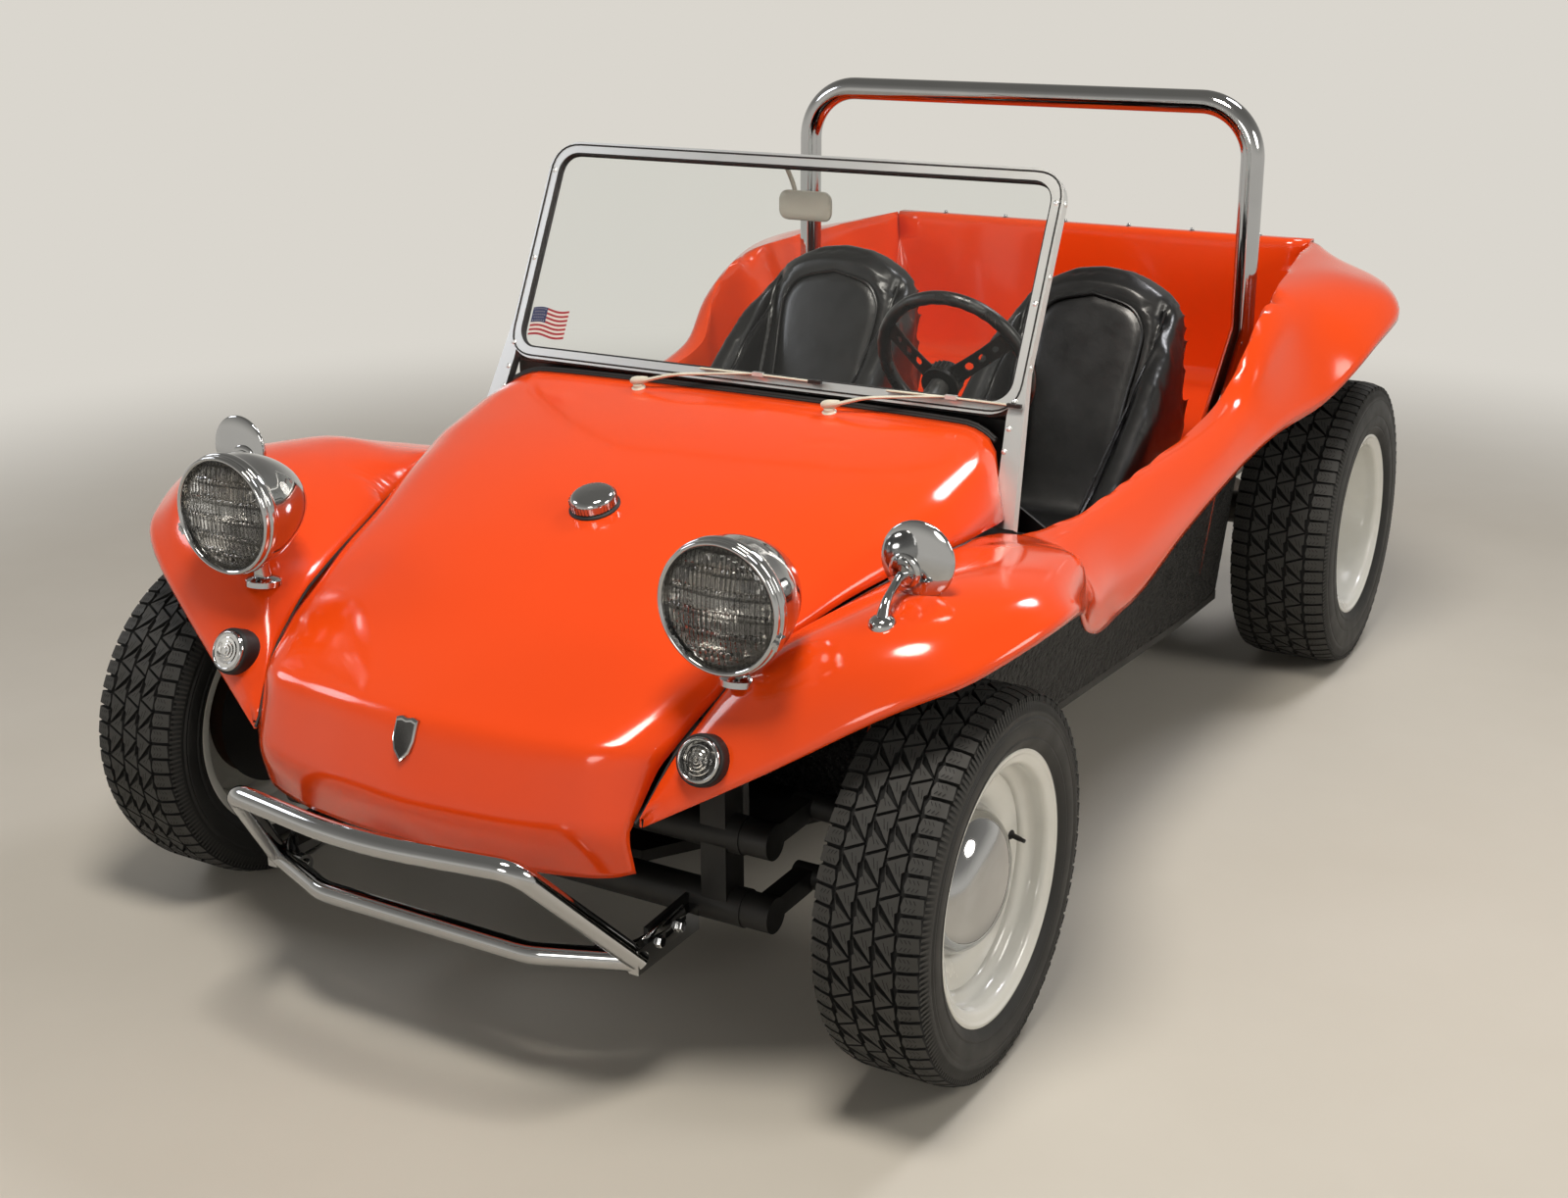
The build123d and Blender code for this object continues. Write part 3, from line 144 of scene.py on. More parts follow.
SEAT_MIDDLE = 312
SEAT_BASE = 273
SEAT_PAD = 149
# The pad's face seen from the side: y, z from the front edge over the cushion and up the back
SEAT_SPINE = [(890, 300), (888, 440), (905, 472), (960, 484), (1130, 470), (1270, 456), (1315, 466),
              (1345, 505), (1400, 640), (1450, 755), (1500, 872), (1528, 935), (1552, 962), (1572, 960)]
# The back's rear face, from its top down to the floor: y, z
SEAT_BACK = [(1582, 950), (1560, 860), (1458, 522), (1398, 332), (1364, 273)]
# A wing seen from the side: y, z
SEAT_WING = [(900, 273), (897, 380), (902, 466), (935, 494), (1000, 530), (1070, 568), (1140, 608),
             (1212, 662), (1283, 719), (1349, 772), (1433, 828), (1500, 868), (1537, 887), (1562, 896),
             (1574, 882), (1550, 820), (1458, 522), (1398, 332), (1364, 273), (1200, 273), (1050, 273)]
# The outline's height at a width: x, z
SEAT_ARCH = [(0, 966), (60, 959), (100, 943), (140, 921), (165, 900), (182, 872), (192, 840), (198, 800),
             (204, 740), (209, 690), (214, 600)]


# Shape helpers

def straight(rows, y):
    """The row at y, by straight lines between the rows."""
    k = max(i for i in range(len(rows) - 1) if rows[i][0] <= y or i == 0)
    t = (y - rows[k][0]) / (rows[k + 1][0] - rows[k][0])
    return [a + (b - a) * t for a, b in zip(rows[k][1:], rows[k + 1][1:])]


def smooth(rows, y):
    """The row at y, by a curve through each column that never overshoots."""
    xs = [row[0] for row in rows]
    k = max(i for i in range(len(xs) - 1) if xs[i] <= y or i == 0)
    width = xs[k + 1] - xs[k]
    t = (y - xs[k]) / width
    out = []
    for column in zip(*[row[1:] for row in rows]):
        steps = [(q - p) / (v - u) for p, q, u, v in zip(column, column[1:], xs, xs[1:])]
        within = [0 if p * q <= 0 else 2 * p * q / (p + q) for p, q in zip(steps, steps[1:])]
        slope = [steps[0]] + within + [steps[-1]]
        rise = column[k + 1] - column[k]
        a = slope[k] * width - rise
        b = rise - slope[k + 1] * width
        out.append((1 - t) * column[k] + t * column[k + 1] + t * (1 - t) * ((1 - t) * a + t * b))
    return out


def through(points, samples):
    """A smooth line through the points, with so many steps in each gap."""
    points = [Vector(p) for p in points]
    marks = [0.0]
    for p, q in zip(points, points[1:]):
        marks.append(marks[-1] + max((q - p).length, 1e-6) ** 0.7)
    last = len(points) - 1
    slopes = []
    for i in range(last + 1):
        a, b = max(i - 1, 0), min(i + 1, last)
        slopes.append((points[b] - points[a]) / (marks[b] - marks[a]))
    out = []
    for i in range(last):
        width = marks[i + 1] - marks[i]
        for s in range(samples):
            t = s / samples
            out.append(points[i] * (2 * t ** 3 - 3 * t ** 2 + 1)
                       + slopes[i] * width * (t ** 3 - 2 * t ** 2 + t)
                       + points[i + 1] * (3 * t ** 2 - 2 * t ** 3)
                       + slopes[i + 1] * width * (t ** 3 - t ** 2))
    return out + [points[-1]]


def rounded(points, radius, steps=4, closed=False):
    """The line with its corners rounded off. radius is one number or one for each corner."""
    points = [Vector(p) for p in points]
    count = len(points)
    radii = radius if isinstance(radius, (list, tuple)) else [radius] * count
    out = []
    for i, p in enumerate(points):
        if not closed and i in (0, count - 1) or radii[i] <= 0:
            out.append(p)
            continue
        back, ahead = points[i - 1] - p, points[(i + 1) % count] - p
        a = p + back.normalized() * min(radii[i], back.length * 0.48)
        b = p + ahead.normalized() * min(radii[i], ahead.length * 0.48)
        for s in range(steps + 1):
            t = s / steps
            out.append(a.lerp(p, t).lerp(p.lerp(b, t), t))
    return out


def evenly(points, count):
    """So many points spaced evenly along a line."""
    lengths = [0.0]
    for p, q in zip(points, points[1:]):
        lengths.append(lengths[-1] + (q - p).length)
    out = []
    k = 0
    for i in range(count):
        want = lengths[-1] * i / (count - 1)
        while k < len(points) - 2 and lengths[k + 1] < want:
            k += 1
        gap = max(lengths[k + 1] - lengths[k], 1e-9)
        out.append(points[k].lerp(points[k + 1], min(1.0, (want - lengths[k]) / gap)))
    return out


def relax(rows, times):
    """Evens out the rows of a sheet along its length and keeps its ends."""
    for _ in range(times):
        rows = [rows[0]] + [[(p + q * 2 + r) / 4 for p, q, r in zip(a, b, c)]
                            for a, b, c in zip(rows, rows[1:], rows[2:])] + [rows[-1]]
    return rows


def axes_along(direction):
    """A matrix whose Z axis points along the direction."""
    z = Vector(direction).normalized()
    x = Vector((1, 0, 0)) if abs(z.x) < 0.9 else Vector((0, 1, 0))
    y = z.cross(x).normalized()
    x = y.cross(z)
    return Matrix((x, y, z)).transposed()


def new_object(name, data):
    """An object with this data, in the scene."""
    made = bpy.data.objects.new(name, data)
    bpy.context.scene.collection.objects.link(made)
    return made


class Form:
    """A mesh under way: points, faces and the look of each face."""

    def __init__(self):
        self.points = []
        self.faces = []
        self.looks = []

    def face(self, corners, look=0):
        """One face with points of its own."""
        start = len(self.points)
        self.points += [Vector(c) for c in corners]
        self.faces.append(tuple(range(start, start + len(corners))))
        self.looks.append(look)
        return self

    def grid(self, rows, look=0, ring_rows=False, ring_points=False):
        """A sheet through rows of points, which closes on itself across the rows, along them, or both."""
        start = len(self.points)
        width = len(rows[0])
        for row in rows:
            self.points += [Vector(p) for p in row]
        for i in range(len(rows) if ring_rows else len(rows) - 1):
            for j in range(width if ring_points else width - 1):
                a, b = i * width, (i + 1) % len(rows) * width
                k = (j + 1) % width
                self.faces.append((start + a + j, start + a + k, start + b + k, start + b + j))
                self.looks.append(look(i, j) if callable(look) else look)
        return self

    def lathe(self, profile, origin, axis, look=0, steps=64, closed=False):
        """Turns points (radius, place on the axis), in millimetres, about an axis from a point in metres."""
        turn = axes_along(axis)
        rows = []
        for s in range(steps):
            angle = 2 * math.pi * s / steps
            way = turn @ Vector((math.cos(angle), math.sin(angle), 0))
            rows.append([Vector(origin) + way * (r * MM) + turn.col[2] * (a * MM) for r, a, *_ in profile])
        by_column = isinstance(look, (list, tuple))
        return self.grid(rows, (lambda i, j: look[j]) if by_column else look, True, closed)

    def tube(self, path, radius, look=0, sides=12, closed=False, squash=1.0):
        """A round bar along points in metres, with its radius in millimetres."""
        path = [Vector(p) for p in path]
        count = len(path)
        side = None
        rows = []
        for i in range(count):
            ahead = path[(i + 1) % count] if closed or i < count - 1 else path[i]
            back = path[i - 1] if closed or i > 0 else path[i]
            way = (ahead - back).normalized()
            if side is None:
                side = axes_along(way).col[0]
            side = (side - way * side.dot(way)).normalized()
            up = way.cross(side)
            size = (radius[i] if isinstance(radius, (list, tuple)) else radius) * MM
            rows.append([path[i] + (side * math.cos(t) + up * math.sin(t) * squash) * size
                         for t in [2 * math.pi * k / sides for k in range(sides)]])
        self.grid(rows, look, closed, True)
        if not closed:
            self.face(rows[0][::-1], look)
            self.face(rows[-1], look)
        return self

    def block(self, size, matrix, look=0):
        """A box of a size in millimetres, centred on the matrix's place."""
        x, y, z = [s * MM / 2 for s in size]
        c = [matrix @ Vector((i, j, k)) for i in (-x, x) for j in (-y, y) for k in (-z, z)]
        for f in ((0, 1, 3, 2), (4, 6, 7, 5), (0, 4, 5, 1), (2, 3, 7, 6), (0, 2, 6, 4), (1, 5, 7, 3)):
            self.face([c[i] for i in f], look)
        return self

    def mirrored(self):
        """A copy on the other side of the car."""
        other = Form()
        other.points = [Vector((-p.x, p.y, p.z)) for p in self.points]
        other.faces = [f[::-1] for f in self.faces]
        other.looks = list(self.looks)
        return other

    def on_side(self, side):
        """The form as it is on the left, or mirrored for the right."""
        return self if side == LEFT else self.mirrored()

    def add(self, other):
        """Takes in another form's points and faces."""
        start = len(self.points)
        self.points += other.points
        self.faces += [tuple(i + start for i in f) for f in other.faces]
        self.looks += other.looks
        return self

    def make(self, name, materials, body, slot, replaces=(), sharp=38, outward=False, bevel=0, solid=0):
        """Makes the object, joins doubled points, shades it and hands it to the frame."""
        mesh = bpy.data.meshes.new(name)
        mesh.from_pydata(self.points, [], self.faces)
        mesh.polygons.foreach_set("material_index", self.looks)
        for m in materials:
            mesh.materials.append(m)
        work = bmesh.new()
        work.from_mesh(mesh)
        bmesh.ops.remove_doubles(work, verts=work.verts, dist=1e-6)
        if outward:
            bmesh.ops.recalc_face_normals(work, faces=work.faces)
        work.to_mesh(mesh)
        work.free()
        mesh.polygons.foreach_set("use_smooth", [True] * len(mesh.polygons))
        mesh.set_sharp_from_angle(angle=math.radians(sharp))
        piece = new_object(name, mesh)
        if solid:
            thick = piece.modifiers.new("Wall", "SOLIDIFY")
            thick.thickness = solid * MM
            thick.offset = -1
            thick.use_even_offset = True
            thick.material_offset = len(materials) - 1
            thick.material_offset_rim = 0
        if bevel:
            edge = piece.modifiers.new("Worn edges", "BEVEL")
            edge.width = bevel * MM
            edge.segments = 3
            edge.limit_method = "ANGLE"
            edge.harden_normals = True
        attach(piece, body)
        if replaces:
            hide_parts(*replaces)
        return piece


# Materials

def linear(colour):
    """A shader colour from an sRGB hex value. A colour that is already linear stays as it is."""
    if not isinstance(colour, str):
        return tuple(colour)[:3] + (1.0,)
    parts = [int(colour[i:i + 2], 16) / 255 for i in (1, 3, 5)]
    return tuple(c / 12.92 if c <= 0.04045 else ((c + 0.055) / 1.055) ** 2.4 for c in parts) + (1.0,)


def add_node(tree, kind, links=None, **settings):
    """Adds a node, sets its properties and its inputs: an input is a value or another node's output."""
    made = tree.nodes.new(kind)
    for name, value in settings.items():
        setattr(made, name, value)
    for name, value in (links or {}).items():
        if isinstance(value, bpy.types.NodeSocket):
            tree.links.new(value, made.inputs[name])
        else:
            made.inputs[name].default_value = value
    return made


def surface(name, colour, rough, metal=0.0, colour_two=None, patch=60.0, bumps=(), rough_two=None, **extra):
    """A shader that drifts in patches between two colours and two roughnesses, with bumps on it.

    Patches are in millimetres, and each bump is (size, height) in millimetres.
    """
    made = bpy.data.materials.new(name)
    made.use_nodes = True
    tree = made.node_tree
    shader = tree.nodes["Principled BSDF"]
    place = add_node(tree, "ShaderNodeTexCoord").outputs["Object"]
    drift = add_node(tree, "ShaderNodeTexNoise", {"Vector": place, "Scale": 1 / (patch * MM), "Detail": 4.0})
    tint = add_node(tree, "ShaderNodeMix", {"Factor": drift.outputs["Fac"]}, data_type="RGBA")
    tint.inputs[6].default_value = linear(colour)
    tint.inputs[7].default_value = linear(colour_two or colour)
    tree.links.new(tint.outputs[2], shader.inputs["Base Color"])
    wear = add_node(tree, "ShaderNodeMapRange", {"Value": drift.outputs["Fac"], "From Min": 0.3,
                                                 "From Max": 0.7, "To Min": rough,
                                                 "To Max": rough if rough_two is None else rough_two})
    tree.links.new(wear.outputs["Result"], shader.inputs["Roughness"])
    shader.inputs["Metallic"].default_value = metal
    normal = None
    for size, height in bumps:
        grain = add_node(tree, "ShaderNodeTexNoise",
                         {"Vector": place, "Scale": 1 / (size * MM), "Detail": 3.0})
        lift = add_node(tree, "ShaderNodeBump", {"Height": grain.outputs["Fac"], "Distance": height * MM,
                                                 "Strength": 1.0})
        if normal:
            tree.links.new(normal, lift.inputs["Normal"])
        normal = lift.outputs["Normal"]
    if normal:
        tree.links.new(normal, shader.inputs["Normal"])
    for socket, value in extra.items():
        shader.inputs[socket.replace("_", " ")].default_value = value
    return made


# The spacing of a wave texture's bands at a scale of 1
WAVE_PERIOD = 0.314


def flute_painted_shade(made):
    """Paints shade into a lamp glass's colour along its flutes' walls, where real pressed glass turns the
    light aside.
    """
    tree = made.node_tree
    place = add_node(tree, "ShaderNodeTexCoord").outputs["Object"]
    shader = tree.nodes["Principled BSDF"]
    plain = shader.inputs["Base Color"].links[0].from_socket
    share = None
    # Direction, spacing in millimetres and the share of each band painted dark: upright flutes, then the
    # lines across them
    for direction, period, cut in (("X", 7.5, 0.42), ("Z", 30.0, 0.06)):
        scale = WAVE_PERIOD / (period * MM)
        wave = add_node(tree, "ShaderNodeTexWave", {"Vector": place, "Scale": scale, "Distortion": 0.6,
                                                    "Detail": 0.0}, bands_direction=direction)
        lines = add_node(tree, "ShaderNodeMapRange",
                         {"Value": wave.outputs["Fac"], "From Min": 0.0, "From Max": cut, "To Min": 0.0,
                          "To Max": 1.0}).outputs["Result"]
        share = lines if share is None else add_node(tree, "ShaderNodeMath", {0: share, 1: lines},
                                                     operation="MULTIPLY").outputs[0]
    # Painted shade: the lines darken the glass towards this grey.
    tint = add_node(tree, "ShaderNodeMix", {"Factor": share}, data_type="RGBA")
    tint.inputs[6].default_value = linear("#5B5954")
    tree.links.new(plain, tint.inputs[7])
    tree.links.new(tint.outputs[2], shader.inputs["Base Color"])


MATERIALS = {}


def define_materials(paint):
    """Makes each finish once. The numbers are roughness, metal, patch size and bumps, as in surface()."""
    # Glass-fibre gelcoat: sprayed into a polished mould, so it is deep and glossy with a faint ripple.
    MATERIALS["gelcoat"] = surface("Orange_gelcoat", paint, 0.13, colour_two="#EC4610", patch=500,
                                   rough_two=0.17, bumps=((160, 0.16), (2.5, 0.003)), Coat_Weight=0.35,
                                   Coat_Roughness=0.07, IOR=1.43)
    # Bitumen undercoat: rolled on thick, so it is lumpy with a dull shine.
    MATERIALS["undercoat"] = surface("Bitumen_undercoat", "#060606", 0.34, colour_two="#100F0D", patch=50,
                                     rough_two=0.5, bumps=((13, 26.0), (5, 6.0)))
    # Chrome plate on polished steel: a mirror with a trace of polishing haze.
    MATERIALS["chrome"] = surface("Chrome_plate", "#BFC0C1", 0.05, 1.0, "#B2B3B4", 80, ((60, 0.05),), 0.1)
    # Polished aluminium extrusion: softer than chrome, drawn along its length.
    MATERIALS["aluminium"] = surface("Polished_aluminium", "#E9EAE9", 0.36, 1.0, "#DEE0DF", 300,
                                     ((0.8, 0.002),), 0.44)
    # Cast magnesium and aluminium cases: grainy, dulled by oil film.
    MATERIALS["casting"] = surface("Cast_case_alloy", "#8D8A84", 0.5, 0.8, "#5E5A53", 40, ((2, 0.15),), 0.68)
    # Chassis enamel over steel: satin black with road dust.
    MATERIALS["chassis"] = surface("Chassis_enamel", "#101010", 0.38, 0.0, "#1D1C1A", 70, ((6, 0.12),), 0.6)
    # Stamped steel in gloss stove enamel: black, with soft reflections.
    MATERIALS["tinware"] = surface("Stove_enamel", "#0B0B0B", 0.2, 0.0, "#151515", 90, ((30, 0.1),), 0.3,
                                   Coat_Weight=0.5)
    # Hot-run mild steel: brown and straw heat stain.
    MATERIALS["exhaust"] = surface("Heat_stained_steel", "#6B625A", 0.45, 0.9, "#3F332B", 60,
                                   ((3, 0.08),), 0.65)
    # Cast iron drum: dark with surface rust.
    MATERIALS["iron"] = surface("Cast_iron", "#3B322C", 0.6, 0.5, "#5A3A26", 25, ((2, 0.15),), 0.8)
    # Wheel enamel on pressed steel: white, with brake dust thin over it.
    MATERIALS["enamel"] = surface("White_wheel_enamel", "#E9E9E4", 0.18, 0.0, "#DCDBD3", 70, ((50, 0.15),),
                                  0.28, Coat_Weight=0.7, Coat_Roughness=0.05)
    # Tyre rubber: carbon black, grey with floor dust in patches.
    MATERIALS["rubber_tread"] = surface("Tyre_tread_rubber", "#2B2B2A", 0.58, 0.0, "#3B3A37", 24,
                                        ((1.2, 0.08),), 0.8)
    # Groove rubber: darker than the sidewall's, painted shade in the grooves and on the thin cuts.
    MATERIALS["rubber_groove_shade"] = surface("Tyre_groove_painted_shade", "#080808", 0.85, 0.0, "#10100F", 14, (), 0.9)
    MATERIALS["rubber_wall"] = surface("Tyre_sidewall_rubber", "#161616", 0.5, 0.0, "#1F1F1E", 40,
                                       ((1.5, 0.03),), 0.62)
    # Moulded trim rubber: matt black with a faint bloom.
    MATERIALS["rubber_trim"] = surface("Trim_rubber", "#0E0E0E", 0.5, 0.0, "#191919", 20, ((1, 0.03),), 0.65)
    # Expanded vinyl: calendered grain of about 1.5 mm, soft sheen.
    MATERIALS["vinyl"] = surface("Black_grained_vinyl", "#080808", 0.3, 0.0, "#0F0F10", 60,
                                 ((42, 1.1), (1.6, 0.12)), 0.42, Coat_Weight=0.3, Coat_Roughness=0.22)
    # Vinyl welt sewn round a cord: the same hide drawn tight, so it is a little shinier.
    MATERIALS["piping"] = surface("Vinyl_piping", "#070708", 0.26, 0.0, "#0D0D0E", 30, ((3, 0.08),), 0.36)
    # Injection-moulded grip plastic: black and smooth, polished by hands.
    MATERIALS["grip"] = surface("Moulded_black_plastic", "#0B0B0B", 0.25, 0.0, "#121212", 40,
                                ((20, 0.05),), 0.35)
    # Injection-moulded mirror back: pale grey, faintly mottled.
    MATERIALS["plastic"] = surface("Moulded_grey_plastic", "#A39E93", 0.4, 0.0, "#989388", 30,
                                   ((8, 0.04),), 0.5)
    # Black anodised aluminium plate: dark metal with a brushed face.
    MATERIALS["anodised"] = surface("Black_anodised_plate", "#2A2826", 0.35, 0.9, "#1B1A19", 30,
                                    ((1, 0.01),), 0.45)
    # Stove enamel on the wiper arms: pale cream, yellowed in patches.
    MATERIALS["cream"] = surface("Cream_wiper_paint", "#D8D5C8", 0.35, 0.0, "#C8C2AC", 20, ((4, 0.04),), 0.5)
    # Silvered glass: a clean mirror.
    MATERIALS["mirror"] = surface("Silvered_glass", "#E4E7E8", 0.02, 1.0, "#DEE2E3", 80)
    # Float glass: clear with a faint green edge.
    MATERIALS["glass"] = surface("Float_glass", "#FCFEFD", 0.0, 0.0, "#FAFDFC", 200,
                                 Transmission_Weight=1.0, IOR=1.45)
    # Pressed lamp glass: clear, thick and fluted.
    MATERIALS["lamp_glass"] = surface("Pressed_lamp_glass", "#FFFFFF", 0.02, 0.0, "#FCFCFC", 60,
                                      Transmission_Weight=1.0, IOR=1.47)
    # The flutes' walls also get painted shade.
    flute_painted_shade(MATERIALS["lamp_glass"])
    # Vacuum-metallised reflector: a slightly warm mirror, greyed well below a clean mirror's brightness as
    # painted shade for dim reflections.
    MATERIALS["reflector"] = surface("Lamp_reflector_painted_shade", "#B5B3AF", 0.08, 1.0, "#A3A19C", 30, (), 0.14)
    # Moulded red acrylic: deep red with a glossy face.
    MATERIALS["red_lens"] = surface("Red_acrylic", "#B30E0E", 0.12, 0.0, "#8F0A0A", 15, (), 0.2,
                                    Coat_Weight=1.0)
    # Black vitreous enamel on the blank shield.
    MATERIALS["badge"] = surface("Black_badge_enamel", "#141312", 0.2, 0.0, "#1D1B19", 10, (), 0.3,
                                 Coat_Weight=1.0)
    # Silk-screened dial ink: flat off-white.
    MATERIALS["marks"] = surface("Dial_print", "#D8D6CC", 0.5, 0.0, "#CBC8BC", 10)
    # Printed vinyl film: flat red, blue and white inks.
    MATERIALS["decal_red"] = surface("Decal_red", "#A5242E", 0.4, 0.0, "#92202A", 10)
    MATERIALS["decal_blue"] = surface("Decal_blue", "#23305E", 0.4, 0.0, "#1D294F", 10)
    MATERIALS["decal_white"] = surface("Decal_white", "#DEDAD2", 0.4, 0.0, "#D2CDC4", 10)
    # Fabric-backed vee belt: dull black with a dusty side.
    MATERIALS["belt"] = surface("Vee_belt_rubber", "#131312", 0.7, 0.0, "#242321", 10, ((2, 0.1),), 0.85)
    # Silicone-covered plug lead: black and slightly dusty.
    MATERIALS["lead"] = surface("Ignition_lead", "#151515", 0.45, 0.0, "#202020", 12, ((1, 0.05),), 0.55)


def look(*names):
    """The named finishes, in the order of a form's looks."""
    return [MATERIALS[n] for n in names]


def paint_node(name, *names):
    """Gives a CAD node its finish."""
    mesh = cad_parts[name].data
    mesh.materials.clear()
    for n in names:
        mesh.materials.append(MATERIALS[n])


def soften_node(name, width, angle=35):
    """Breaks the hard edges of a CAD node."""
    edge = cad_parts[name].modifiers.new("Broken edges", "BEVEL")
    edge.width = width * MM
    edge.segments = 2
    edge.limit_method = "ANGLE"
    edge.angle_limit = math.radians(angle)


# The body's surfaces

def side_line(y):
    """The side moulding's line at one station, from its foot to the skirt's end, in millimetres."""
    row = smooth(SIDE_ROWS, y)
    foot = straight(FOOT_ROWS, y)
    inner, edge = (row[0], row[1]), (row[8], row[9])
    top = through([(row[i], row[i + 1], 0) for i in range(0, 10, 2)], 7)
    wall = [Vector((foot[0] + (inner[0] - foot[0]) * t, foot[1] + (inner[1] - foot[1]) * t, 0))
            for t in (0, 0.3, 0.6, 0.85)]
    skirt = max(row[10], 10)
    line = wall + top + [Vector((edge[0] - 2, edge[1] - skirt, 0))]
    radii = [0] * len(line)
    radii[len(wall)] = min(16, (Vector(inner) - Vector(foot)).length * 0.4)
    radii[-2] = 7
    return evenly(rounded(line, radii, 5), SIDE_POINTS)


def wall_x(y, z):
    """How far out the cabin face of the side wall is at a height."""
    foot = straight(FOOT_ROWS, y)
    row = smooth(SIDE_ROWS, y)
    t = (z - foot[1]) / (row[1] - foot[1])
    return foot[0] + (row[0] - foot[0]) * min(t, 1.0)


def stations(start, end, step):
    """Places from start to end, about a step apart."""
    count = max(2, round((end - start) / step))
    return [start + (end - start) * i / count for i in range(count + 1)]


def seam_x(y):
    """How far out the seam between bonnet and wing lies."""
    rows = sorted(SEAM_ROWS)
    return rows[0][1] if y <= rows[0][0] else smooth(rows, min(y, rows[-1][0] - 1))[0]


def bonnet_row(share):
    """The bonnet's measures at a share of its half width: mirrored, so it is level at the middle."""
    table = [(-row[0],) + row[1:] for row in BONNET_ROWS[:0:-1]] + list(BONNET_ROWS)
    return smooth(table, share)


def bonnet_line(share):
    """One profile of the bonnet, as (0, y, z) points from the under-lip to the windscreen."""
    row = bonnet_row(share)
    top = [Vector((0, row[4], row[5]))] + [Vector((0, y, z)) for y, z in zip(BONNET_Y, row[6:11])]
    top.append(Vector((0, row[11], row[12])))
    line = [Vector((0, row[0], row[1])), Vector((0, row[2], row[3]))] + through(top, 8)
    line = rounded(line, [0, 26, 30] + [0] * (len(line) - 3), 6)
    lean = (SCREEN_TOP[0] - SCREEN_BASE[0]) / (SCREEN_TOP[1] - SCREEN_BASE[1])
    kept = [line[0]]
    for p, q in zip(line, line[1:]):
        a = p.y - (SCREEN_BASE[0] - SCREEN_GAP + (p.z - SCREEN_BASE[1]) * lean)
        b = q.y - (SCREEN_BASE[0] - SCREEN_GAP + (q.z - SCREEN_BASE[1]) * lean)
        if b >= 0:
            kept.append(p.lerp(q, a / (a - b)))
            break
        kept.append(q)
    return kept


BONNET_LINES = {}


def bonnet_point(across, along):
    """A point on the bonnet, in millimetres.

    Across is -1 to 1 between the seams, and along is 0 at the under-lip to 1 at the screen.
    """
    key = round(abs(across), 4)
    if key not in BONNET_LINES:
        BONNET_LINES[key] = evenly(bonnet_line(key), BONNET_STEPS + 1)
    line = BONNET_LINES[key]
    k = along * BONNET_STEPS
    i = min(int(k), BONNET_STEPS - 1)
    p = line[i].lerp(line[i + 1], k - i)
    edge = seam_x(p.y if p.z > LIP_TOP else min(p.y, LIP_Y)) - SEAM_GAP
    return Vector((across * edge, p.y, p.z))


def bonnet_z(x, y):
    """The bonnet's height above a place in plan."""
    line = bonnet_line(abs(x) / (seam_x(y) - READING_GAP))
    for p, q in zip(line, line[1:]):
        if p.z > 440 and p.y <= y <= q.y:
            return p.z + (q.z - p.z) * (y - p.y) / (q.y - p.y)
    return line[-1].z


def side_top(x, y):
    """The height of the side moulding's top at a place in plan."""
    row = smooth(SIDE_ROWS, y)
    line = through([(row[i], row[i + 1], 0) for i in range(0, 10, 2)], 7)
    for p, q in zip(line, line[1:]):
        if p.x <= x <= q.x:
            return p.y + (q.y - p.y) * (x - p.x) / (q.x - p.x)
    return line[-1].y


def body_side(side):
    """One side moulding: inner wall, rim, flank and rolled skirt, with undercoat beneath."""
    rows = [[at(p.x, y, p.y) for p in side_line(y)] for y in stations(SIDE_START, SIDE_END, 17)]
    form = Form().grid(relax(rows, 2)).on_side(side)
    name = SIDE_NAMES[side]
    return form.make(f"side_moulding_{name}", look("gelcoat", "undercoat"), "chassis", "gelcoat",
                     (f"body_side_{name}",), 50, solid=BODY_WALL)


def bonnet_panel():
    """The bonnet with its rounded nose, soft crease and turned lip."""
    count = 72
    rows = [[at(*bonnet_point(-1 + 2 * j / count, i / 110)) for j in range(count + 1)] for i in range(111)]
    form = Form().grid(rows)
    return form.make("bonnet_panel", look("gelcoat", "undercoat"), "chassis", "gelcoat", ("bonnet",), 60,
                     solid=BODY_WALL)


def rear_tub():
    """The tub behind the seats in one sheet: board, shelf, rear wall and rolled lip, with coved sides."""
    profile = [(0, 1510, 248), (0, 1510, 566), (0, 2262, 566), (0, 2287, 932), (0, 2337, 932), (0, 2337, 862)]
    line = evenly(rounded(profile, [0, 24, 45, 14, 11, 0], 8), 130)
    rows = []
    for i, p in enumerate(line):
        way = (line[min(i + 1, 129)] - line[max(i - 1, 0)]).normalized()
        up = Vector((0, -way.z, way.y))
        cove = TUB_COVE if i < 108 else TUB_COVE * max(0, (114 - i) / 6)
        half = wall_x(min(p.y, 2288), p.z) - 1
        row = [Vector((half - cove + cove * math.sin(a), p.y, p.z)) + up * cove * (1 - math.cos(a))
               for a in [math.pi / 2 * k / 6 for k in range(6, -1, -1)]]
        row += [Vector(((half - cove) * (1 - k / 9), p.y, p.z)) for k in range(1, 10)]
        row += [Vector((-q.x, q.y, q.z)) for q in row[-2::-1]]
        rows.append([at(*q) for q in reversed(row)])
    return Form().grid(rows).make("rear_tub", look("gelcoat", "undercoat"), "chassis", "gelcoat",
                                  ("rear_bench",), 50, solid=BODY_WALL)


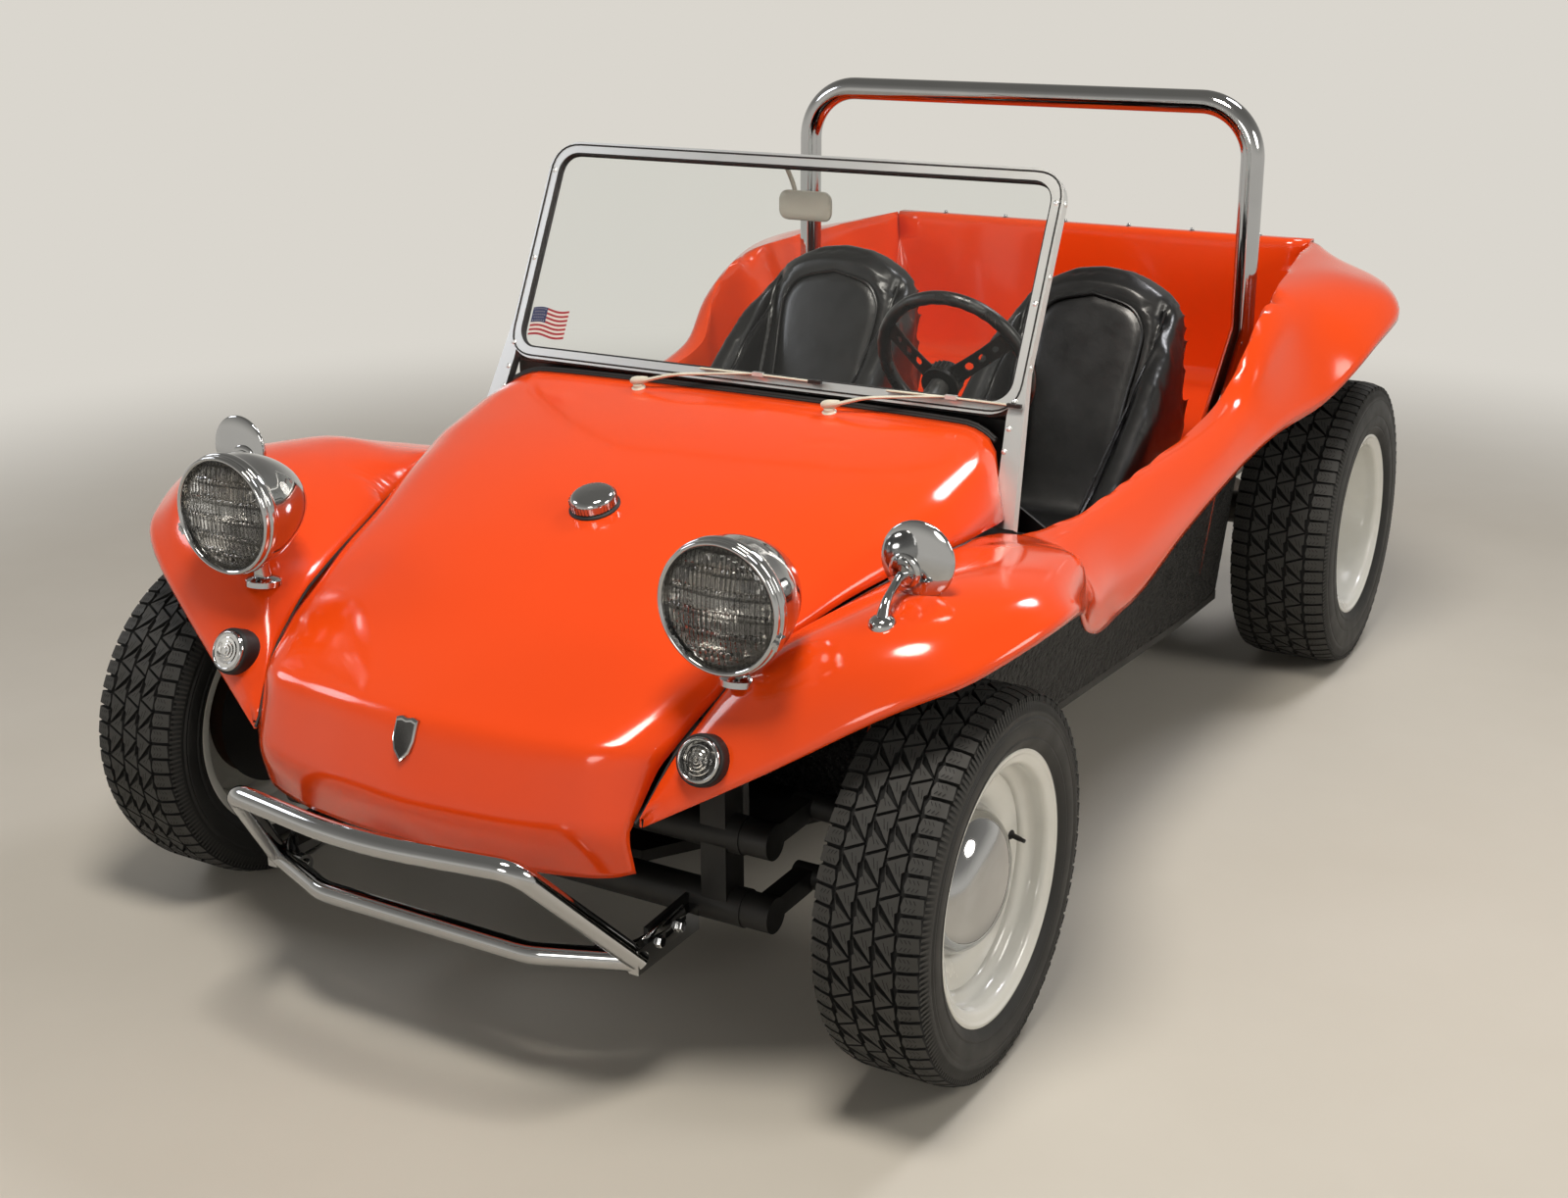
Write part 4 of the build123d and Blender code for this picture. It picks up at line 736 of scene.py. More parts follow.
def seam_beading():
    """Black beading in the two seams, and the rubber under the windscreen."""
    form = Form()
    for side in (LEFT, RIGHT):
        path = []
        for y in stations(-335, 505, 14):
            rim = smooth(SIDE_ROWS, max(y, SIDE_START))
            path.append(at(side * (seam_x(y) + rim[0]) / 2, y, rim[1] - 6))
        form.tube(path, BEADING, 0, 8)
    for k in range(2):
        path = [at(*(bonnet_point(-1 + 2 * j / 60, 1.0) + Vector((0, 4 + k * 3, 1 + 4 * k))))
                for j in range(2, 59)]
        form.tube(path, SCREEN_RUBBER, 0, 10)
    return form.make("seam_beading", look("rubber_trim"), "chassis", "black_vinyl")


def snap_fasteners():
    """Chromed snap studs along the rim of the tub."""
    form = Form()
    profile = [(7, 0), (7, 1.6), (4.4, 2.4), (3.4, 3.6), (4.6, 5.2), (4.0, 7.4), (0.01, 8.2)]
    for y in (1560, 1652, 1755, 1842, 1910, 2010, 2110, 2205):
        p, q = side_line(y)[RIM_POINT:RIM_POINT + 2]
        out = Vector((-(q.y - p.y), 0, q.x - p.x)).normalized()
        stud = Form().lathe(profile, at(p.x, y, p.y), out, steps=16)
        form.add(stud).add(stud.mirrored())
    for x in (-420, -250, -85, 85, 250, 420):
        form.lathe(profile, at(x, 2312, 932), (0, 0, 1), steps=16)
    return form.make("snap_fasteners", look("chrome"), "chassis", "chrome")


# Wheels and tyres

# end, hub, disc's place out from the middle, half the tyre's width, tyre's radius
WHEELS = (("front", FRONT_HUB, 706, 89, 298), ("rear", REAR_HUB, 618, 110, 327))
BEAD_RADIUS = 191
BOLT_CIRCLE = 102.5
VALVE_CIRCLE = 147


def hub_point(hub, side, radius, along, angle):
    """A point at a radius, a place out along the axle and a turn, about a wheel's middle."""
    return Vector((hub.x * side + side * along * MM, hub.y + radius * MM * math.cos(angle),
                   hub.z + radius * MM * math.sin(angle)))


def tyre(name, hub, side, radius, half, pitches, body):
    """A tyre: a smooth carcass, three columns of tread triangles of two sorts, and shoulder lugs, with thin
    cuts drawn as painted shade.
    """
    depth = bpy.context.scene.buggy.tread_depth / MM
    base = radius - depth
    rim = RIM_RADIUS
    section = [(BEAD_RADIUS, half - 17), (rim + 0.4, half - 11), (rim + 7, half - 6), (rim + 16, half - 1.5),
               (rim + 19, half - 2.6), (rim + 22, half - 1.2), (rim + 40, half), (rim + 43, half - 1),
               (rim + 46, half), (radius - 42, half - 0.6), (radius - 39, half - 2),
               (radius - 36, half - 1.2), (radius - 24, half - 3.5), (base - 7, half - 10), (base, half - 24),
               (base + 0.8, half * 0.4), (base + 1, 0)]
    outer = [(p.x, p.y) for p in through([(r, a, 0) for r, a in section], 2)]
    outer += [(r, -a) for r, a in outer[-2::-1]]
    inner = [(BEAD_RADIUS, -half + 34), (rim + 14, -half + 30), (radius - 24, -half + 26), (radius - 20, 0),
             (radius - 24, half - 26), (rim + 14, half - 30), (BEAD_RADIUS, half - 34)]
    form = Form()
    looks = [1 if r > radius - 14 else 0 for r, a in outer] + [0] * len(inner)
    form.lathe(outer + inner, (hub.x * side, hub.y, hub.z), (side, 0, 0), looks, 120, True)
    pitch = 2 * math.pi / pitches

    def crown(along):
        """The radius of the tread's surface at a place across it."""
        t = max(0.0, (abs(along) - half * 0.55) / (half * 0.45))
        return radius - 11 * t * t

    def block(outline):
        """A tread block over an outline of (place across, turn in pitches) corners."""
        count = len(outline)
        area = sum(a * outline[k - 1][1] - outline[k - 1][0] * t for k, (a, t) in enumerate(outline))
        if area * side < 0:
            outline = outline[::-1]
        middle_a = sum(a for a, _ in outline) / count
        middle_t = sum(t for _, t in outline) / count
        top, foot = [], []
        for a, t in outline:
            ta, tt = middle_a + (a - middle_a) * 0.95, middle_t + (t - middle_t) * 0.95
            top.append(hub_point(hub, side, crown(ta), ta, tt * pitch))
            foot.append(hub_point(hub, side, crown(a) - depth - 1, a, t * pitch))
        form.face(top, 2)
        for k in range(count):
            n = (k + 1) % count
            form.face([foot[k], foot[n], top[n], top[k]], 1)

    def painted_slit(a, t, b, u, wide):
        """A thin dark quad on a block's face, from one place to another: painted shade where a cut would be.
        """
        across = Vector((u - t, (b - a) / radius / pitch, 0)).normalized() * wide / 2
        turn = across.y / radius / pitch
        corners = [(a + across.x, t - turn), (b + across.x, u - turn), (b - across.x, u + turn),
                   (a - across.x, t + turn)]
        quad = [hub_point(hub, side, crown(p) + 0.25, p, q * pitch) for p, q in corners]
        middle = sum(quad, Vector()) / 4 - Vector((hub.x * side, hub.y, hub.z))
        facing = (quad[1] - quad[0]).cross(quad[2] - quad[1]).dot(Vector((0, middle.y, middle.z)))
        form.face(quad if facing > 0 else quad[::-1], 1)

    lug_in, lug_out = half * 0.60, half - 7
    edges = [-half * 0.56 + half * 1.12 * k / 3 for k in range(4)]
    for k in range(pitches):
        for left, right in zip(edges, edges[1:]):
            w = right - left
            a0, a1 = left + 1.6, right - 1.6
            block([(a0, k + 0.31), (a1, k + 0.04), (a1, k + 0.46), (a1 - 0.13 * w, k + 0.52),
                   (a1 - 0.05 * w, k + 0.93)])
            block([(a0, k + 0.39), (a0 + 0.10 * w, k + 0.62), (a1 - 0.04 * w, k + 1.0), (a0, k + 1.25),
                   (a0, k + 0.86), (a0 + 0.12 * w, k + 0.80)])
            for n in range(2):
                painted_slit(a0 + (0.42 + 0.2 * n) * w, k + 0.30 + 0.06 * n, a0 + (0.56 + 0.16 * n) * w,
                     k + 0.56 + 0.04 * n, 1.0)
                painted_slit(a0 + (0.14 + 0.2 * n) * w, k + 0.78 + 0.08 * n, a0 + (0.30 + 0.2 * n) * w,
                     k + 0.98 - 0.02 * n, 1.0)
        for sign in (LEFT, RIGHT):
            for part in range(2):
                t = k + part * 0.5 + (0.0 if sign == LEFT else 0.25)
                block([(sign * lug_in, t + 0.06), (sign * (lug_in + lug_out) / 2, t + 0.03),
                       (sign * lug_out, t + 0.02), (sign * (lug_out + 2), t + 0.43),
                       (sign * (lug_in + lug_out) / 2, t + 0.46), (sign * lug_in, t + 0.47),
                       (sign * (lug_in - 3), t + 0.3)])
                for n in range(3):
                    for lean in (0.05, -0.05):
                        a = sign * (lug_in + (lug_out - lug_in) * (0.12 + 0.2 * n))
                        b = sign * (lug_in + (lug_out - lug_in) * (0.24 + 0.2 * n))
                        painted_slit(a, t + 0.25 + lean * 3, b, t + 0.25 + lean, 0.9)
    for k in range(pitches * 6):
        for sign in (LEFT, RIGHT):
            t = pitch * (k + 0.5) / 6 + (0 if sign == LEFT else pitch * 0.25)
            wide = pitch / 6 * 0.22
            (r0, b0), (r1, b1) = (radius - 10.5, half - 5.6), (radius - 32, half - 0.7)
            corners = [hub_point(hub, side, r0, sign * b0, t - wide),
                       hub_point(hub, side, r0, sign * b0, t + wide),
                       hub_point(hub, side, r1, sign * b1, t + wide),
                       hub_point(hub, side, r1, sign * b1, t - wide)]
            form.face(corners if sign * side == RIGHT else corners[::-1], 2)
    end, place = name.split("_")
    return form.make(f"{name}_tyre", look("rubber_wall", "rubber_groove_shade", "rubber_tread"), body, "tyre_black",
                     (f"{end}_tyre_{place}",), 30)


def rim_profile(out, back, well_in, well_out):
    """The rim's outside and inside lines as (radius, place along the axle from the disc)."""
    r = RIM_RADIUS - 0.3
    line = [(r - 4, back, 0), (r, back, 0), (r - 16, back + 6, 0), (r - 21, well_in - 10, 0),
            (r - 40, well_in, 0), (r - 40, well_out, 0), (r - 21, out - 34, 0), (r - 17, out - 7, 0),
            (r, out - 3, 0), (r + 1, out, 0), (r - 5, out + 1, 0), (r - 9, out - 2, 0),
            (r - 21, out - 6, 0), (r - 25, out - 12, 0), (r - 26, out - 33, 0),
            (r - 45, well_out - 2, 0), (r - 45, well_in + 3, 0), (r - 26, well_in - 6, 0),
            (r - 20, back + 4, 0)]
    radii = [1, 1, 5, 5, 9, 9, 6, 5, 3, 1.5, 2, 2, 4, 4, 8, 8, 8, 5, 3]
    return rounded(line, radii, 3, True)


def wheel(end, name, hub, side, half, disc_x, body):
    """A pressed steel wheel with a stepped deep dish, its drum, bolts, valve and domed chrome cap."""
    middle = Vector((disc_x * MM * side, hub.y, hub.z))
    out = hub.x / MM + half - 10 - disc_x
    back = hub.x / MM - half + 10 - disc_x
    well_out = min(62, out - 40)
    form = Form()
    form.lathe(rim_profile(out, back, well_out - 44, well_out), middle, (side, 0, 0), 0, 96, True)
    disc = rounded([(166, 24, 0), (128, 15, 0), (112, 0, 0), (36, 0, 0), (36, 5, 0), (110, 5, 0),
                    (126, 20, 0), (166, 29, 0)], [0, 9, 9, 0, 1, 9, 9, 0], 4)
    form.lathe(disc, middle, (side, 0, 0), 0, 96)
    drum = rounded([(18, -1, 0), (104, -1, 0), (124, -10, 0), (124, -42, 0), (112, -42, 0)],
                   [0, 8, 5, 1, 0], 3)
    form.lathe(drum, middle, (side, 0, 0), 1, 72)
    for k in range(5):
        t = math.radians(90 + 72 * k)
        spot = middle + Vector((side * 5, BOLT_CIRCLE * math.cos(t), BOLT_CIRCLE * math.sin(t))) * MM
        form.lathe([(11, -1), (10.5, 2), (8.5, 3), (8.5, 8), (7.2, 9.4), (0.01, 9.4)], spot,
                   (side, 0, 0), 2, 6)
    t = math.radians(5 if end == "front" else -100)
    valve = middle + Vector((side * 27, VALVE_CIRCLE * math.cos(t), VALVE_CIRCLE * math.sin(t))) * MM
    form.lathe([(8, -8), (8, -2), (6.5, 0), (4.2, 3), (3.9, 18), (3.2, 19), (3.2, 26), (0.01, 26.5)], valve,
               (side, -0.35 * math.cos(t), -0.35 * math.sin(t)), 3, 20)
    made = form.make(f"{end}_{name}_wheel", look("enamel", "iron", "aluminium", "rubber_trim"), body,
                     "wheel_white", (f"{end}_wheel_{name}",), 30)
    cap = rounded([(108, 26, 0), (110, 16, 0), (113, 8, 0), (116, 9.5, 0), (116, 12, 0), (111.5, 22, 0),
                   (105, 34, 0), (94, 47, 0), (80, 57, 0), (60, 64.5, 0), (35, 69.5, 0), (0.01, 71, 0)],
                  [0, 2, 2, 1, 2, 3, 8, 9, 14, 18, 20, 0], 4)
    Form().lathe(cap, middle, (side, 0, 0), 0, 96).make(
        f"{end}_{name}_hubcap", look("chrome"), body, "chrome", (f"{end}_hubcap_{name}",), 30)
    return made


# Lamps, mirrors and trim

LAMP = (463, -271, 759)
LAMP_GLASS = 91
# The glass bulges by this much and is cut into bands this high. Its flutes are this deep, and this wide band
# by band.
LAMP_BULGE = 13
BAND_HEIGHT = 30
FLUTE_DEPTH = 2.2
FLUTE_WIDTHS = (10, 7.5, 9, 6.5, 8.5, 11)
INDICATOR = (447, -298, 543)
TAIL_LAMP_Y = 2212


def lamp_glass_row(radius, angle):
    """The fluted face of a sealed-beam glass: how far it stands out, and how deep its flutes are there."""
    bulge = LAMP_BULGE * (1 - (radius / LAMP_GLASS) ** 2)
    x, z = radius * math.cos(angle), radius * math.sin(angle)
    level = (z + 3 * BAND_HEIGHT) / BAND_HEIGHT
    wide = FLUTE_WIDTHS[math.floor(level) % len(FLUTE_WIDTHS)]
    flute = abs(math.sin(math.pi * x / wide)) * FLUTE_DEPTH
    edge = min(1.0, max(0.0, (LAMP_GLASS - 6 - radius) / 6))
    line = 0.0 if abs(level - round(level)) < 0.05 else 1.0
    return -bulge - (0.4 + flute) * edge * line


def headlamp(side):
    """A bullet lamp: rim, shell, clamp tab, stalk and nut, with a fluted glass before its reflector."""
    x, y, z = LAMP
    place = at(x, y, z)
    form = Form()
    shell = rounded([(89, 6, 0), (90, 0, 0), (93, -3, 0), (97, -1, 0), (98, 5, 0), (96, 9, 0), (100, 11, 0),
                     (100.5, 20, 0), (97, 24, 0), (93, 62, 0), (74, 110, 0), (46, 148, 0), (0.01, 165, 0)],
                    [0, 1, 2, 2, 2, 1, 2, 3, 4, 24, 40, 30, 0], 5)
    form.lathe(shell, place, (0, 1, 0), 0, 96)
    tilt = math.radians(-20)
    tab = Matrix.Translation(place + Vector((99 * MM * math.cos(tilt), 8 * MM, 99 * MM * math.sin(tilt))))
    tab = tab @ Matrix.Rotation(-tilt, 4, "Y")
    form.block((10, 15, 20), tab)
    form.lathe([(5, 0), (5, 3), (4, 4), (0.01, 4)], tab @ Vector((0, -7.5 * MM, 0)), (0, -1, 0), 0, 6)
    foot_y, foot_x = y + 71, x - 8
    ground = side_top(foot_x, foot_y)
    form.tube([at(x - 4, y + 62, z - 80), at(x - 6, y + 68, z - 96),
               at(foot_x, foot_y, ground - 1)], 14, 0, 24)
    form.lathe([(15, -16), (23, -14), (23, -4), (20, 0), (14, 1)], at(x - 5, y + 66, z - 82),
               (0, 0, -1), 0, 6)
    form.lathe([(29, -8), (29, 1), (25, 5), (15, 8)], at(foot_x, foot_y, ground), (0, 0.1, 1), 0, 40)
    name = SIDE_NAMES[side]
    form.on_side(side).make(f"headlamp_{name}", look("chrome"), "chassis", "chrome",
                            ("headlamp_shells",) if side == LEFT else (), 34)
    face = Form()
    rings = [0.01] + [LAMP_GLASS * k / 44 for k in range(1, 45)]
    turns = [2 * math.pi * s / 150 for s in range(150)]
    face.grid([[place + Vector((r * math.cos(t), 6 + lamp_glass_row(r, t), r * math.sin(t))) * MM
                for r in rings] for t in turns], 0, True)
    back = [[place + Vector((r * math.cos(t), 10 - 12 * (1 - (r / LAMP_GLASS) ** 2), r * math.sin(t))) * MM
             for r in rings[::8]] for t in turns[::3]]
    face.grid([row[::-1] for row in back], 0, True)
    piece = face.on_side(side).make(f"headlamp_glass_{name}", look("lamp_glass"), "chassis", "glass",
                                    ("headlamp_lenses",) if side == LEFT else (), 20)
    piece.visible_shadow = False
    bowl = Form().lathe([(89, 10), (84, 30), (66, 52), (38, 66), (14, 72), (0.01, 72)], place,
                        (0, 1, 0), 0, 64)
    bowl.lathe([(0.01, 24), (9, 26), (12, 34), (12, 50), (16, 54), (16, 70)], place, (0, 1, 0), 1, 32)
    return bowl.on_side(side).make(f"headlamp_reflector_{name}", look("reflector", "chrome"),
                                   "chassis", "chrome")


def indicator(side):
    """A round front lamp: a black rubber ring on the wing, a chrome bezel, and stepped clear glass."""
    place = at(*INDICATOR)
    back = Vector((-0.05, 0.92, -0.38))
    name = SIDE_NAMES[side]
    form = Form()
    bezel = rounded([(27, 0, 0), (29, -6, 0), (33, -3, 0), (34, 3, 0)], [0, 3, 3, 0], 4)
    form.lathe(bezel, place, back, 0, 64)
    ring = rounded([(33, 1, 0), (36, 0, 0), (38, 5, 0), (38, 34, 0)], [0, 2, 3, 0], 4)
    form.lathe(ring, place, back, 1, 64)
    form.on_side(side).make(f"indicator_{name}", look("chrome", "rubber_trim"), "chassis", "chrome",
                            ("indicators",) if side == LEFT else ())
    steps = [(0.01, -9), (5, -9), (6, -7.5), (10, -8), (11, -6), (15, -6.5), (16, -4.5), (21, -5),
             (22, -3), (28, -3)]
    lens = Form().lathe(steps, place, back, 0, 64).lathe([(28, 6), (10, 3), (0.01, 3)], place, back, 0, 48)
    glass = lens.on_side(side).make(f"indicator_glass_{name}", look("lamp_glass"), "chassis", "glass", (), 20)
    glass.visible_shadow = False
    pan = Form().lathe([(29, 4), (20, 10), (0.01, 12)], place, back, 0, 48)
    pan.lathe([(0.01, -2), (5, 0), (5, 9)], place, back, 1, 24)
    return pan.on_side(side).make(f"indicator_pan_{name}", look("reflector", "lamp_glass"),
                                  "chassis", "chrome")


def tail_lamp(side):
    """A round red lamp with moulded rings in a chrome bezel."""
    y = TAIL_LAMP_Y
    ahead, behind = [smooth(SIDE_ROWS, y + step) for step in (-40, 40)]
    ax, bx = ahead[8] - 2, behind[8] - 2
    skirt_z = ahead[9] - ahead[10]
    out = Vector((80, ax - bx, 0)).normalized()
    place = at((ax + bx) / 2, y, skirt_z - 46)
    name = SIDE_NAMES[side]
    form = Form()
    form.lathe([(38, -12), (38, 10), (36, 13), (33, 13), (32, 10)], place, out, 0, 64)
    form.lathe([(32, 10), (30, 16), (27, 17), (26, 15), (21, 19), (20, 17), (14, 21), (13, 19), (6, 23),
                (0.01, 23)], place, out, 1, 64)
    return form.on_side(side).make(f"tail_lamp_{name}", look("chrome", "red_lens"), "chassis", "red_lens",
                                   ("tail_lamps",) if side == LEFT else ())


WING_MIRROR = (652, -30, 794)
MIRROR_FOOT = (640, -120)


def wing_mirror(side):
    """A round chrome mirror with a stepped boss, on a curved tapering stem."""
    name = SIDE_NAMES[side]
    place = at(*WING_MIRROR)
    form = Form()
    head = rounded([(53, 2, 0), (56, 0, 0), (58.5, 3, 0), (57.5, 7, 0), (46, 11, 0), (24, 14, 0),
                    (0.01, 15, 0)], [0, 1, 2, 3, 12, 12, 0], 5)
    form.lathe(head, place, (0, -1, 0), 0, 72)
    boss = at(636, -42, 778)
    form.lathe([(26, -6), (26, 2), (24, 4), (19, 5), (19, 8), (13, 9), (13, 12), (0.01, 13)], boss,
               (-0.1, -1, -0.1), 0, 40)
    foot_x, foot_y = MIRROR_FOOT
    foot_z = side_top(foot_x, foot_y)
    stem = through([at(635, -52, 773), at(637, -80, 764), at(639, -106, 750),
                    at(foot_x, foot_y, foot_z + 4)], 8)
    form.tube(stem, [7.5 - 2.5 * math.sin(math.pi * k / (len(stem) - 1)) + k * 0.12
                     for k in range(len(stem))], 0, 16)
    form.lathe([(20, -8), (20, 1), (17, 6), (12, 9), (8, 10)], at(foot_x, foot_y, foot_z),
               (0, -0.15, 1), 0, 40)
    form.lathe([(0.01, 1.5), (53, 2)], place, (0, -1, 0), 1, 72)
    return form.on_side(side).make(f"wing_mirror_{name}", look("chrome", "mirror"), "chassis", "chrome",
                                   ("wing_mirrors",) if side == LEFT else ())


def interior_mirror():
    """A small rounded mirror on a ball and a bent stem from the top rail."""
    form = Form()
    stem = through([at(-30, 775, 1240), at(-31, 792, 1222), at(-29, 812, 1190), at(-25, 824, 1150)], 6)
    form.tube(stem, 4.5, 0, 14)
    form.block((30, 7, 20), Matrix.Translation(at(-30, 780, 1240)), 0)
    form.lathe([(0.01, -9), (6, -7), (9, 0), (6, 7), (0.01, 9)], at(-25, 820, 1146), (0, 1, 0), 0, 24)
    rows = []
    for depth, grow in ((806, -14), (807, -5), (810, -1), (814, 0), (817, -1), (817.5, -3)):
        outline = rounded([(-56 - grow, 0, -28 - grow), (56 + grow, 0, -28 - grow), (56 + grow, 0, 28 + grow),
                           (-56 - grow, 0, 28 + grow)], 20, 8, True)
        rows.append([at(p.x - 4, depth, 1152 + p.z) for p in outline])
    form.grid(rows, 0, False, True)
    form.face(rows[0][::-1], 0).face(rows[-1], 1)
    return form.make("interior_mirror_glass", look("plastic", "mirror"), "chassis", "mirror_black",
                     ("interior_mirror",), outward=True)


# A ball over the cut ends of the bumper's two tubes: its radius and place
MITRE_BALL = 18.6
MITRE = (299, -328, 215)


def bumper_ends():
    """The front bumper's ends: each tube turns back, is pressed flat and takes two bolts and a strap."""
    form = Form()
    spine = through([(286, -330, 216), (312, -326, 215), (338, -306, 219), (352, -276, 227), (357, -246, 232),
                     (359, -212, 236)], 5)
    rows = []
    for i, p in enumerate(spine):
        share = i / (len(spine) - 1)
        way = (spine[min(i + 1, len(spine) - 1)] - spine[max(i - 1, 0)]).normalized()
        across = way.cross(Vector((0, 0, 1))).normalized()
        flat = min(1.0, max(0.0, (share - 0.25) / 0.35))
        thin, tall = 18 - 12 * flat, 18 + 5 * flat
        rows.append([at(*(p + across * thin * math.cos(t) + Vector((0, 0, tall * math.sin(t)))))
                     for t in [2 * math.pi * k / 24 for k in range(24)]])
    form.grid(rows, 0, False, True).face(rows[0][::-1]).face(rows[-1])
    turns = [math.pi * k / 16 for k in range(17)]
    ball = [(MITRE_BALL * math.sin(t), -MITRE_BALL * math.cos(t)) for t in turns]
    form.lathe(ball, at(*MITRE), (0, 0, 1), 0, 24)
    bolt = [(11, 0), (11, 2), (9.5, 3), (9.5, 8), (8, 10), (0.01, 10)]
    for y, z, x in ((-278, 229, 357), (-232, 235, 364)):
        form.lathe(bolt, at(x, y, z), (1, 0, 0.05), 0, 6)
    strap = Matrix.Translation(at(340, -196, 236)) @ Matrix.Rotation(math.radians(3), 4, "Z")
    form.block((7, 190, 34), strap, 1)
    form.add(form.mirrored())
    return form.make("bumper_ends", look("chrome", "chassis"), "chassis", "chrome", (), 34)


FILLER_Y = 99


def filler_cap():
    """A bright filler cap with a knurled rim, on its gasket."""
    z = bonnet_z(0, FILLER_Y)
    slope = (bonnet_z(0, FILLER_Y + 40) - bonnet_z(0, FILLER_Y - 40)) / 80
    axis = Vector((0, -slope, 1)).normalized()
    place = at(0, FILLER_Y, z)
    form = Form()
    form.lathe([(43, -3), (43, 2), (41, 4), (38, 5)], place, axis, 1, 64)
    cap = rounded([(36, 4, 0), (38.5, 6, 0), (38.5, 20, 0), (33, 27, 0), (20, 30, 0), (0.01, 31, 0)],
                  [0, 1, 3, 5, 10, 0], 5)
    form.lathe(cap, place, axis, 0, 64)
    turn = axes_along(axis)
    for k in range(40):
        t = 2 * math.pi * k / 40
        spot = place + turn @ Vector((38.6 * MM * math.cos(t), 38.6 * MM * math.sin(t), 13 * MM))
        form.block((3, 2.6, 12), Matrix.Translation(spot) @ (turn.to_4x4() @ Matrix.Rotation(t, 4, "Z")), 0)
    return form.make("filler_cap", look("chrome", "rubber_trim"), "chassis", "chrome", ("fuel_cap",))


BADGE_TOP = 546


def badge():
    """A small blank enamelled shield with a raised bright edge."""
    outline = [(-20, 0), (-10, 2.5), (0, 0.5), (10, 2.5), (20, 0), (20, -28), (14, -46), (0, -60),
               (-14, -46), (-20, -28)]
    rows = []
    for grow, lift in ((1.0, 0.5), (1.0, 5), (0.9, 6.5), (0.82, 5.6)):
        rows.append([])
        for x, dz in outline:
            zz = -28 + (dz + 28) * grow
            z = BADGE_TOP + zz
            rows[-1].append(at(x * grow, nose_y(x * grow, z) - lift, z + lift * 0.3))
    form = Form().grid(rows, 0, False, True).face(rows[-1], 1)
    return form.make("shield", look("chrome", "badge"), "chassis", "badge_metal",
                     ("nose_badge",), outward=True)


def nose_y(x, z):
    """How far forward the nose is at a height between its lip and its crease."""
    line = bonnet_line(abs(x) / (seam_x(LIP_Y) - READING_GAP))
    for p, q in zip(line[4:], line[5:]):
        if p.z <= z <= q.z:
            return p.y + (q.y - p.y) * (z - p.z) / (q.z - p.z)
    return -385


def wiper_set():
    """Two wiper arms with boat-shaped hinges and thin blades, parked along the foot of the glass."""
    form = Form()
    # place of the hinge | ends of the blade
    for foot, low, high in ((-201, -92, 157), (201, 292, 541)):
        z = bonnet_z(foot, 531)
        form.lathe([(13, -3), (13, 2), (10, 4), (9, 9), (0.01, 10)], at(foot, 531, z), (0, -0.3, 1), 0, 24)
        hinge = [at(foot - 14, 527, z + 13), at(foot, 530, z + 15), at(foot + 18, 534, z + 18)]
        form.tube(through(hinge, 4), [5, 7.5, 8.5, 9, 9, 8.5, 8, 7, 6], 0, 14, False, 0.9)
        bend = low + 124 - foot
        arm = through([at(foot + 10, 531, z + 15), at(foot + bend * 0.3, 544, z + 30),
                       at(foot + bend * 0.62, 563, 874), at(foot + bend, 571, 882)], 6)
        form.tube(arm, [6.3 - 3.2 * k / (len(arm) - 1) for k in range(len(arm))], 0, 12, False, 0.6)
        blade = [Vector((low + (high - low) * k / 16, 572 + 3 * math.sin(math.pi * k / 16), 879))
                 for k in range(17)]
        form.tube([at(*p) for p in blade], 3.0, 0, 10, False, 0.7)
        form.tube([at(*(p + Vector((0, 4, -1.5)))) for p in blade], 2.4, 2, 8)
        form.block((26, 7, 6), Matrix.Translation(at(high - 8, 572, 879)), 2)
        form.block((22, 8, 7), Matrix.Translation(at((low + high) / 2, 571, 881)), 1)
    return form.make("wiper_arms", look("cream", "aluminium", "rubber_trim"), "chassis",
                     "wiper_paint", ("wipers",))


def screen_point(x, up, forward=0.0):
    """A point on the windscreen's plane: across, up the glass from its foot, and forward of it."""
    run, rise = SCREEN_TOP[0] - SCREEN_BASE[0], SCREEN_TOP[1] - SCREEN_BASE[1]
    size = math.hypot(run, rise)
    return at(x, SCREEN_BASE[0] + (run * up - rise * forward) / size,
              SCREEN_BASE[1] + (rise * up + run * forward) / size)


